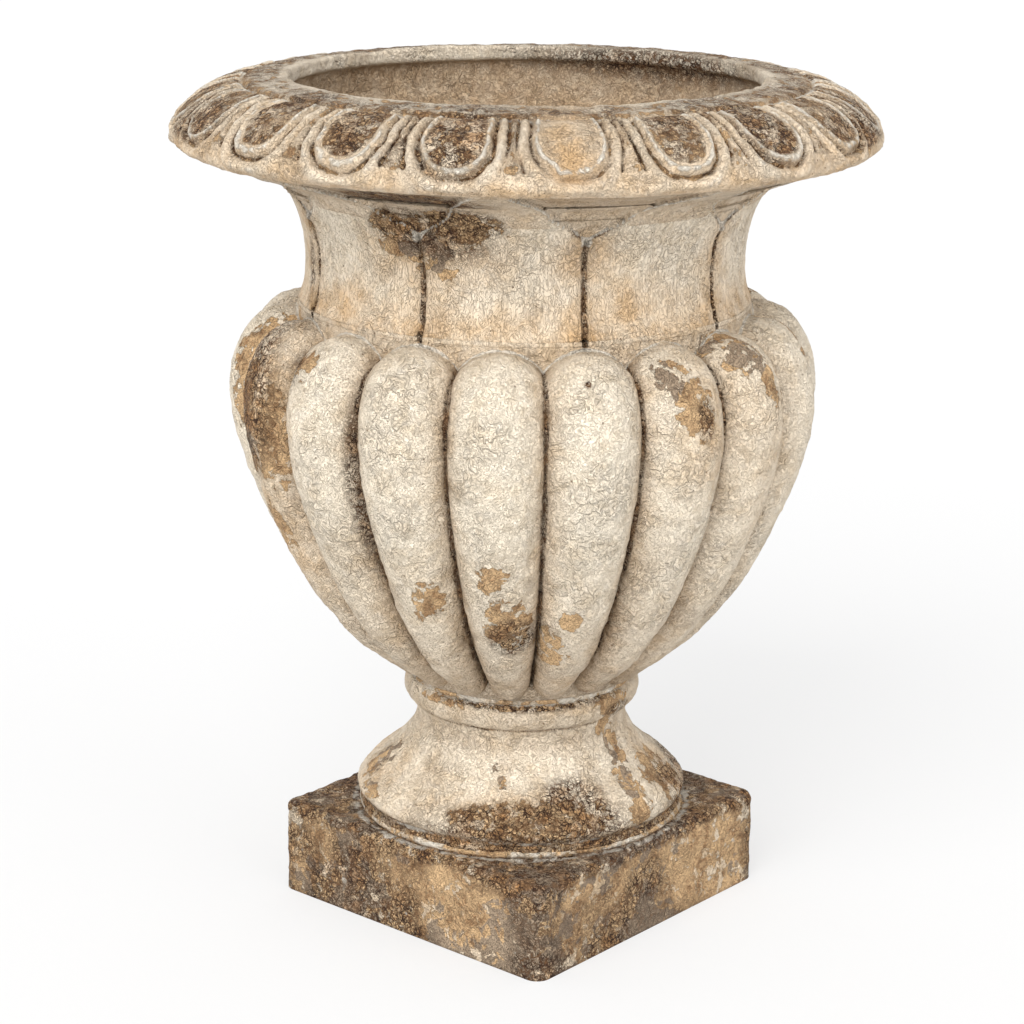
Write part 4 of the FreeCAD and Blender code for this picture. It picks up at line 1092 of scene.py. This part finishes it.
def soft_world():
    world = bpy.data.worlds.new("studio")
    bpy.context.scene.world = world
    world.use_nodes = True
    nodes, links = world.node_tree.nodes, world.node_tree.links
    back = nodes["Background"]
    back.inputs["Color"].default_value = (1, 1, 1, 1)
    strength = nodes.new("ShaderNodeMapRange")
    links.new(seen_directly(nodes, links), strength.inputs["Value"])
    strength.inputs["To Min"].default_value = WORLD_LIGHT
    strength.inputs["To Max"].default_value = 1.0
    links.new(strength.outputs["Result"], back.inputs["Strength"])


def lamp(name, bearing_degrees, tilt_degrees, strength, spread_degrees, colour=(1, 1, 1)):
    """A broad far lamp; its bearing is taken from the photograph's viewpoint."""
    data = bpy.data.lights.new(name, "SUN")
    data.energy = strength
    data.angle = math.radians(spread_degrees)
    data.color = colour
    light = bpy.data.objects.new(name, data)
    turn = VIEW_BEARING + math.radians(bearing_degrees)
    light.rotation_euler = (math.radians(90 - tilt_degrees), 0, turn)
    bpy.context.scene.collection.objects.link(light)


# ---------------------------------------------------------------- the urn

def make_urn():
    make_bowl(stone_material("bowl_coat"))
    neck_coat = stone_material("neck_coat", daub=0.7, upright=True)
    make_neck(neck_coat)
    make_flush_bed("bowl_joint", "bowl_mortar", LOWER_BED, neck_coat)
    make_flush_bed("neck_joint", "neck_mortar", UPPER_BED, neck_coat)
    make_rim(stone_material("rim_coat", daub=0.8, cracks=1.4))
    make_foot(stone_material("foot_coat", daub=0.8))
    make_plinth(stone_material("plinth_coat", daub=0.8, cracks=1.25))
    bed_coat = stone_material("bed_coat", daub=0.8)
    make_bed("plinth_joint", "plinth_mortar", PLINTH_TOP, 118.5, TIE_HOLE, 1.5, bed_coat)
    make_bed("foot_joint", "foot_mortar", FOOT_TOP, 81.5, TIE_HOLE, 1.5, bed_coat)


def dress_hardware():
    steel, rubber = steel_material(), rubber_material()
    for name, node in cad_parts.items():
        if node.hide_render:
            continue
        node.data.materials.clear()
        node.data.materials.append(rubber if "seal" in name else steel)


bpy.context.scene.view_settings.view_transform = "Standard"
view_camera()
soft_world()
pale_floor()
lamp("key", -22, 36, 2.5, 50)
lamp("fill", 50, 20, 0.7, 50)
make_urn()
dress_hardware()
